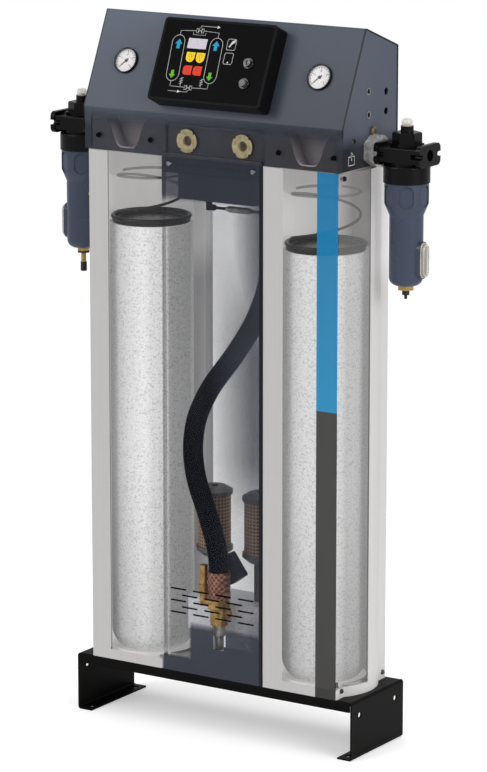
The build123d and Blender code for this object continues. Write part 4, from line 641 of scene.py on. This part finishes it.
finish_nodes(moulded_plastic("black_abs_moulding", "080809", "0E0E10", 0.45), "controller_housing")
film = powder_coat(
    "black_printed_film", "070608", "0E0D0F", 0.35, peel=0.4, depth=0.03, shine=0.03
)
finish_nodes(film, "controller_fascia")
ring_plastic = powder_coat("glossy_switch_plastic", "0C0C0D", "161618", 0.16, shine=0.5)
finish_nodes(ring_plastic, "switch_bezels")
black_nickel = plated_metal("black_nickel_key_barrel", "39393B", "6C6C6F", 0.22, 0.8)
finish_nodes(black_nickel, "key_switch_rotor")
finish_nodes(powder_coat("grey_button_cap", "3A3A3C", "5C5C5E", 0.18, shine=0.5), "reset_button")

# Slope of the head: x across, y up the slope and z out of it, from the middle of the fold.
# It rises 155 mm on a depth of 70.5 mm.
slope_lean = atan2(0.155, 0.0705)
slope_up = Vector((0, cos(slope_lean), sin(slope_lean)))
slope_out = Vector((0, -sin(slope_lean), cos(slope_lean)))
slope_foot = Vector((0, -0.084, 1.048))


def on_slope(x, up, out):
    """The place of a flat piece that lies on the slope, in millimetres from the fold's middle."""
    spot = slope_foot + Vector((x / 1000, 0, 0))
    spot = spot + slope_up * (up / 1000) + slope_out * (out / 1000)
    turn = Matrix((Vector((1, 0, 0)), slope_up, slope_out)).transposed().to_4x4()
    return Matrix.Translation(spot) @ turn


# Heights over the slope in millimetres: the film's face, its raised pads and its sunk window
film_top, pad_rise, window_depth = 33.0, 0.7, 0.4
film_face = on_slope(0, 0, film_top + 0.08)
pad_face = on_slope(0, 0, film_top + pad_rise + 0.08)
window_face = on_slope(0, 0, film_top - window_depth + 0.1)

# White flow diagram: two vessels, the pipes between them and a valve at each end
white = []
vessels = (((-72.6, 113.0), (-69.6, 58.6)), ((1.2, 112.4), (3.3, 59.2)))
for top, foot in vessels:
    outline = arc(*top, 12.0, 0, 180) + arc(*foot, 12.0, 180, 360)
    white.append(ink_line("vessel_line", outline, 0.8, film_face, closed=True))
pipes = (
    [(-72.6, 125), (-72.6, 132.5), (-43, 134)],
    [(-29, 134.5), (1.2, 133), (1.2, 124.4)],
    [(-36, 138), (-36, 142.5), (-4, 142.5)],
    [(-69.6, 46.6), (-69.6, 38), (-41, 37.5)],
    [(-27, 37.5), (3.3, 38), (3.3, 47.2)],
    [(-34, 33), (-34, 29.7), (-71, 29.7)],
    [(-48, 131), (-48, 127), (-24, 127), (-24, 131)],
)
for pipe in pipes:
    white.append(ink_line("pipe_line", pipe, 0.75, film_face))
for x, up in ((-36, 134.4), (-34, 37.2)):
    bow_tie = [(x - 7, up - 4), (x + 7, up + 4), (x + 7, up - 4), (x - 7, up + 4)]
    white.append(ink_line("valve_line", bow_tie, 1.0, film_face, closed=True))
    for seat_x in (x - 3, x + 3):
        seat = [(seat_x, up - 4.5), (seat_x, up + 4.5)]
        white.append(ink_line("valve_seat_line", seat, 0.9, film_face))
for x, up in ((1.4, 142.5), (-47, 29.7)):
    tip = [(x, up), (x - 6, up + 2.6), (x - 6, up - 2.6)]
    white.append(flat_shape("flow_arrow", [tip], film_face))
for x in (-50, -11):
    white.append(ink_line("vent_line", [(x, 39), (x, 54)], 0.7, film_face))
    for up in (44, 48, 52):
        white.append(ink_line("vent_line", [(x - 3, up - 1.5), (x + 3, up + 1.5)], 0.9, film_face))
# Two plain icon frames beside the diagram
for low, high in ((106, 124.6), (82, 101)):
    corner = arc(35, high - 3, 3, 0, 90, 4) + arc(24.5, high - 3, 3, 90, 180, 4)
    corner += arc(24.5, low + 3, 3, 180, 270, 4) + arc(35, low + 3, 3, 270, 360, 4)
    white.append(ink_line("icon_frame", corner, 0.8, film_face, closed=True))
spanner = [(25, 111), (27.5, 110.5), (31, 116), (36, 119), (36.5, 124), (30, 121), (28, 117)]
drop = [(29.7, 87), (27.5, 83.8), (32, 83.8)]
white.append(flat_shape("spanner_icon", [spanner], film_face))
white.append(flat_shape("drop_icon", [drop], film_face))
film_print = join_pieces("film_print_white", white)
film_print.data.materials.append(printing_ink("white_ink", "DCDCDC", "B4B4B6"))
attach(film_print, "frame")


def arrow_outline(x, up, rise):
    """A broad arrow that points up or down the film."""
    half = 0.85 * abs(rise)
    stem = 0.45 * half
    base = [(x + stem, up), (x + stem, up - rise), (x - stem, up - rise), (x - stem, up)]
    return [(x, up + rise), (x + half, up), *base, (x - half, up)]


cyan_arrows = [arrow_outline(-71.5, 110, 8.2), arrow_outline(0.7, 111.0, 8.2)]
green_arrows = [arrow_outline(-70.6, 58.0, -7.0), arrow_outline(2.0, 58.6, -7.0)]
inks = (
    ("film_print_cyan", "1FA3CF", "1787AE", cyan_arrows),
    ("film_print_green", "6CC22E", "559E22", green_arrows),
)
for name, code, thin, outlines in inks:
    arrows = flat_shape(name, outlines, film_face)
    arrows.data.materials.append(printing_ink(name + "_ink", code, thin))
    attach(arrows, "frame")

# Four lamps under the raised pads: two yellow ones with round feet, two red ones with round backs
lamp_half = 8.3
yellow, red, glyphs = [], [], []
for x in (-42.85, -23.55):
    feet = arc(x, 88.5, lamp_half, 180, 360, 12)
    yellow.append([(x - lamp_half, 97.2), (x - lamp_half, 88.5), *feet, (x + lamp_half, 97.2)])
    back = arc(x - 3.3, 69.4, 5.0, 90, 180, 6) + arc(x - 3.3, 63.6, 5.0, 180, 270, 6)
    red.append([*back, (x + lamp_half, 58.6), (x + lamp_half, 74.4)])
    strokes = (
        arc(x, 91, 3.0, -60, 240, 8),
        [(x, 87.5), (x, 83)],
        arc(x, 68.5, 3.0, 30, 330, 8),
        [(x, 63.5), (x + 3, 60.5)],
    )
    glyphs += [ink_line("lamp_glyph", stroke, 0.8, pad_face) for stroke in strokes]
lamp_inks = (("lamp_yellow", "F2CF1D", "D9B312", yellow), ("lamp_red", "E0391F", "C22D17", red))
for name, code, thin, outlines in lamp_inks:
    lamps = flat_shape(name, outlines, on_slope(0, 0, film_top + pad_rise + 0.03))
    lamps.data.materials.append(printing_ink(name + "_ink", code, thin, glow=0.12))
    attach(lamps, "frame")
lamp_glyphs = join_pieces("lamp_glyphs", glyphs)
lamp_glyphs.data.materials.append(printing_ink("grey_ink", "3A3A2E", "55503A"))
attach(lamp_glyphs, "frame")

# Display: a pale reflective panel behind the sunk window, with unlit segments
pane = [(-54.2, 103.8), (-17.8, 103.8), (-17.8, 121.2), (-54.2, 121.2)]
display = flat_shape("display_panel", [pane], window_face)
material, tree, shader, place = new_finish("pale_display_panel", Roughness=0.25)
tones = {"Color1": srgb("CFCBD3"), "Color2": srgb("C6C2CA"), "Mortar": srgb("B4AFB8")}
cells = add_node(tree, "TexBrick", {"Vector": place, "Scale": 220.0, "Mortar Size": 0.03, **tones})
set_inputs(shader, {"Base Color": cells})
display.data.materials.append(material)
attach(display, "frame")


# Gauges: black steel cases with white printed dials, black needles and clear lenses.
# The dials carry a plain scale with numbers, and each needle rests at the scale's zero.
case_enamel = powder_coat("black_gauge_enamel", "0A0A0C", "131315", 0.3, shine=0.2)
finish_nodes(case_enamel, "gauge_case_left", "gauge_case_right")
needle_enamel = powder_coat("black_needle_enamel", "0A0A0A", "141414", 0.5)
finish_nodes(needle_enamel, "gauge_needle_left", "gauge_needle_right")
dial_paper = printing_ink("white_dial_enamel", "FBF7F8", "EEEAEC")
dial_ink = printing_ink("black_dial_ink", "1A1A1C", "3A3A3C")
# Middle of each gauge on the slope, and the dial's height over it, in millimetres
gauge_x, gauge_up, dial_top = 188, 82.5, 0.8
for side, sx in (("left", -1), ("right", 1)):
    dial_face = on_slope(sx * gauge_x, gauge_up, dial_top + 0.07)
    mark_face = on_slope(sx * gauge_x, gauge_up, dial_top + 0.16)
    disc, hole = arc(0, 0, 19.3, 0, 352.5, 47), arc(0, 0, 1.4, 0, 330, 11)
    dial = flat_shape(f"gauge_dial_{side}", [disc, hole], dial_face)
    dial.data.materials.append(dial_paper)
    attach(dial, "frame")
    marks = []
    for tick in range(17):
        turn = radians(225 - 270 * tick / 16)
        inner, width = (13.6, 1.0) if tick % 4 == 0 else (15.2, 0.7)
        ends = [(reach * cos(turn), reach * sin(turn)) for reach in (inner, 17.4)]
        marks.append(ink_line("dial_tick", ends, width, mark_face))
    marks.append(ink_line("dial_ring", arc(0, 0, 17.6, -45, 225, 40), 0.5, mark_face))
    # The scale runs over 270 degrees, with a number at every fourth mark
    for number, value in enumerate(("0", "4", "8", "12", "16")):
        turn = radians(225 - 67.5 * number)
        bpy.ops.object.select_all(action="DESELECT")
        bpy.ops.object.text_add()
        figure = bpy.context.object
        figure.data.body = value
        figure.data.size = 0.0052
        figure.data.align_x = "CENTER"
        figure.data.align_y = "CENTER"
        spot = Matrix.Translation((0.0108 * cos(turn), 0.0108 * sin(turn), 0))
        marks.append(laid_on(figure, mark_face @ spot))
    scale = join_pieces(f"gauge_scale_{side}", marks)
    scale.data.materials.append(dial_ink)
    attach(scale, "frame")


def clear_plastic(name, tint, alpha):
    """Clear moulded plastic: mostly see-through, with a thin haze of fine scratches."""
    material, tree, shader, place = new_finish(name, Alpha=alpha, IOR=1.49)
    haze = add_node(tree, "TexNoise", {"Vector": place, "Scale": 1000 / 5, "Detail": 3.0})
    tone = add_node(tree, "ValToRGB", haze, stops=((0.0, tint), (1.0, "FFFFFF")))
    gloss = add_node(tree, "MapRange", haze, 0.0, 1.0, 0.05, 0.14)
    set_inputs(shader, {"Base Color": tone, "Roughness": gloss})
    return material


lens_plastic = clear_plastic("clear_gauge_lens", "D8DADA", 0.05)
finish_nodes(lens_plastic, "gauge_lens_left", "gauge_lens_right")


# Filters: die-cast heads in black epoxy, and bowls in slate-blue epoxy screwed up into them.
# Sight glasses and indicator domes are clear plastic, the drains are brass with black rubber tips.
black_epoxy = powder_coat(
    "black_epoxy_casting", "080808", "100F10", 0.24, peel=1.5, depth=0.1, shine=0.16
)
finish_nodes(black_epoxy, "filter_head_left", "filter_head_right")
bowl_epoxy = powder_coat("slate_blue_epoxy", "3A4051", "434A5D", 0.26, peel=1.5)
finish_nodes(bowl_epoxy, "filter_bowl_left", "filter_bowl_right")
sight_plastic = clear_plastic("clear_sight_glass", "D6D2CA", 0.35)
finish_nodes(sight_plastic, "sight_glass_left", "sight_glass_right")
dome_plastic = clear_plastic("clear_indicator_dome", "C8C6BE", 0.3)
finish_nodes(dome_plastic, "indicator_dome_left", "indicator_dome_right")
brass = plated_metal("turned_brass", "A67E45", "D4B070", 0.28)
finish_nodes(brass, "indicator_piston_left", "indicator_piston_right")
for side, brass_foot, rubber_top in (("left", -0.0055, -0.0250), ("right", -0.0070, -0.0071)):
    material, tree, shader, place = new_finish(f"brass_drain_with_rubber_tip_{side}")
    drain_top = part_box(f"drain_valve_{side}")[1][2]
    height = add_node(tree, "SeparateXYZ", place).outputs["Z"]
    tarnish = add_node(tree, "TexNoise", {"Vector": place, "Scale": 120.0, "Detail": 4.0})
    tone = add_node(tree, "ValToRGB", tarnish, stops=((0.0, "9E7A44"), (1.0, "DCBC80")))
    # Black seal ring under the hexagon, and black rubber over the tip
    under_hexagon = add_node(tree, "Math", height, drain_top + brass_foot, operation="LESS_THAN")
    above_stem = add_node(tree, "Math", height, drain_top - 0.0091, operation="GREATER_THAN")
    ring = add_node(tree, "Math", under_hexagon, above_stem, operation="MULTIPLY")
    tip = add_node(tree, "Math", height, drain_top + rubber_top, operation="LESS_THAN")
    rubber = add_node(tree, "Math", ring, tip, operation="MAXIMUM")
    metal = add_node(tree, "Math", 1.0, rubber, operation="SUBTRACT")
    gloss = add_node(tree, "MapRange", rubber, 0.0, 1.0, 0.3, 0.6)
    set_inputs(shader, {"Base Color": tone, "Metallic": metal, "Roughness": gloss})
    colour_over(material, rubber, "121212")
    finish_nodes(material, f"drain_valve_{side}")

# Pale champagne frames hold the sight glasses
frames = []
glass_face = 0.3505
for sx in (-1, 1):
    low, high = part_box("sight_glass_left" if sx < 0 else "sight_glass_right")
    middle_y, middle_z = (low[1] + high[1]) / 2, (low[2] + high[2]) / 2
    half_width, half_length = ((high[i] - low[i]) / 2 + 0.0005 for i in (1, 2))
    turns = arc(0, half_length - half_width, half_width, 0, 180, 8)
    turns += arc(0, half_width - half_length, half_width, 180, 360, 8)
    # A broad wire round the glass, and a finer and smaller one further out on its face
    for out, wire, wide, tall in ((0.0003, 0.0013, 1.0, 1.0), (0.0048, 0.0009, 0.80, 0.90)):
        x = sx * (glass_face + out)
        loop = [(x, middle_y + y * wide, middle_z + z * tall) for y, z in turns]
        frames.append(tube_along("sight_frame_wire", loop, wire, closed=True))
sight_frames = join_pieces("sight_frames", frames)
champagne = plated_metal("pale_champagne_frame", "B0A08C", "DCD0BE", 0.35, 0.4)
sight_frames.data.materials.append(champagne)
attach(sight_frames, "frame")


def stepped_plug(name, place, radius, height):
    """A round plug with a stepped, chamfered head, laid on a plane."""
    bpy.ops.object.select_all(action="DESELECT")
    bpy.ops.mesh.primitive_circle_add(vertices=32, radius=radius, fill_type="NGON")
    plug = bpy.context.object
    plug.name = name
    bpy.ops.object.mode_set(mode="EDIT")
    bpy.ops.mesh.select_all(action="SELECT")
    # Side, chamfer, flat top and the sunk middle, each as a share of the height and a width
    for share, width in ((0.7, 1.0), (0.3, 0.86), (0.0, 0.62), (-0.25, 0.95)):
        bpy.ops.mesh.extrude_region_move(TRANSFORM_OT_translate={"value": (0, 0, share * height)})
        bpy.ops.transform.resize(value=(width, width, 1))
    bpy.ops.mesh.select_all(action="SELECT")
    bpy.ops.mesh.normals_make_consistent(inside=False)
    bpy.ops.object.mode_set(mode="OBJECT")
    plug.data.transform(place)
    return plug


# A weathered brass plug in the right pan, and a yellow-green dot on the left bowl's side
quarter_turn = Matrix.Rotation(pi / 2, 4, "Y")
pan_front = Matrix.Translation((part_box("head_side_right")[1][0] - 0.0002, 0.010, 1.034))
pipe_plug = stepped_plug("pipe_plug", pan_front @ quarter_turn, 0.0085, 0.005)
plug_brass = plated_metal("weathered_brass_plug", "5E5244", "8C7A62", 0.4, 0.5)
pipe_plug.data.materials.append(plug_brass)
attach(pipe_plug, "frame")
bowl_side = Matrix.Translation((-0.29335, -0.00633, 0.885))
bowl_side = bowl_side @ Matrix.Rotation(radians(-26.5), 4, "Z")
bowl_dot = stepped_plug("bowl_index_dot", bowl_side @ quarter_turn, 0.0045, 0.0012)
bowl_dot.data.materials.append(printing_ink("yellow_green_dot", "C9C63A", "A5A22A"))
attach(bowl_dot, "frame")

# Nickel nipples with broad hexagons join the filters to the head
finish_nodes(plated_metal("bright_nickel", "B4B2AE", "F2F0EC", 0.3, 0.4), "port_nipples")
dull_nickel = plated_metal("dull_nickel", "9A9896", "C8C6C2", 0.34, 0.5)
finish_nodes(dull_nickel, "drain_check_valve", "pilot_filter")


# Purge hose: smooth black rubber over braid, crimped into copper-coloured ferrules.
# The crimp leaves rows of dents round each ferrule, with painted shade at their bottoms.
hose_rubber = powder_coat(
    "black_hose_rubber", "040405", "08080A", 0.45, peel=1.0, depth=0.01, shine=0.02
)
finish_nodes(hose_rubber, "purge_hose")
crimped = plated_metal("copper_coloured_crimp", "A06A52", "D09A80", 0.36, 0.5)
tree, shader, place, parts = open_finish(crimped)
# Dents stand every 8 mm across and 10 mm up
columns = add_node(tree, "Math", parts["X"], 2 * pi / 0.008, operation="MULTIPLY")
columns = add_node(tree, "Math", columns, operation="SINE")
rows = add_node(tree, "Math", parts["Z"], 2 * pi / 0.010, operation="MULTIPLY")
rows = add_node(tree, "Math", rows, operation="SINE")
dents = add_node(tree, "Math", columns, rows, operation="MULTIPLY")
dent_bump = add_node(tree, "Bump", {"Height": dents, "Strength": 0.7, "Distance": 0.002})
dent_shade = add_node(tree, "MapRange", dents, -0.8, 0.8)
copper = shader.inputs["Base Color"].links[0].from_socket
copper = add_node(tree, "Mix", {0: dent_shade, 6: srgb("6A4032"), 7: copper}, data_type="RGBA")
set_inputs(shader, {"Base Color": copper, "Normal": dent_bump})
finish_nodes(crimped, "hose_ferrules")
finish_nodes(brass, "hose_elbow")


# Valve block, coil, pilot line and silencers between the columns.
# The block is blasted aluminium, the coil and fittings are black nylon, and the silencers are grey
# pressed caps round a woven bronze mesh.
block_finish = blasted_metal("blasted_valve_block", "B0B0B4", "CACACE", 0.4)
# Painted light: the block glows a little with its own colour
block_shader = block_finish.node_tree.nodes["Principled BSDF"]
block_tone = block_shader.inputs["Base Color"].links[0].from_socket
set_inputs(block_shader, {"Emission Color": block_tone, "Emission Strength": 0.28})
finish_nodes(block_finish, "valve_block")
finish_nodes(moulded_plastic("black_nylon", "1B1B1E", "26262A", 0.45), "pilot_elbow", "pilot_tube")
finish_nodes(moulded_plastic("dark_grey_coil_resin", "2E2E32", "3A3A3E", 0.45), "solenoid_coil")
pressed_caps = blasted_metal("grey_pressed_caps", "5A5654", "777371", 0.4)
finish_nodes(pressed_caps, "silencer_body_left", "silencer_body_right")
for side in ("left", "right"):
    low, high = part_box(f"silencer_mesh_{side}")
    name = f"woven_bronze_mesh_{side}"
    material, tree, shader, place = new_finish(name, Metallic=0.5, Roughness=0.5)
    middle = ((low[0] + high[0]) / 2, (low[1] + high[1]) / 2, 0.0)
    offset = add_node(tree, "VectorMath", place, middle, operation="SUBTRACT")
    parts = add_node(tree, "SeparateXYZ", offset).outputs
    turn = add_node(tree, "Math", parts["Y"], parts["X"], operation="ARCTAN2")
    # Wires stand every 6 mm round the sleeve and up it
    warp = add_node(tree, "Math", turn, 28.0, operation="MULTIPLY")
    warp = add_node(tree, "Math", warp, operation="SINE")
    weft = add_node(tree, "Math", parts["Z"], 2 * pi / 0.006, operation="MULTIPLY")
    weft = add_node(tree, "Math", weft, operation="SINE")
    weave = add_node(tree, "Math", warp, weft, operation="MAXIMUM")
    # Painted shade: the low parts of the weave between the wires are drawn dark
    raised = add_node(tree, "MapRange", weave, -0.7, 1.0)
    tone = add_node(tree, "ValToRGB", raised, stops=((0.0, "3A2A22"), (1.0, "B09278")))
    weave_bump = add_node(tree, "Bump", {"Height": weave, "Strength": 0.5, "Distance": 0.001})
    set_inputs(shader, {"Base Color": tone, "Normal": weave_bump})
    finish_nodes(material, f"silencer_mesh_{side}")


# Screws: socket buttons, zinc plated at the columns and panels and black in the head's cover.
# The plating is bright with a cloudy haze.
finish_nodes(plated_metal("zinc_plated_steel", "3C3A38", "7C7875", 0.3), "flange_screws")
cover_screws = plated_metal("zinc_and_black_screws", "5A5A5E", "A8A8AC", 0.3)
tree, shader, place, parts = open_finish(cover_screws)
in_cover = add_node(tree, "Math", parts["Z"], 0.985, operation="GREATER_THAN")
colour_over(cover_screws, in_cover, "161618")
finish_nodes(cover_screws, "panel_screws")
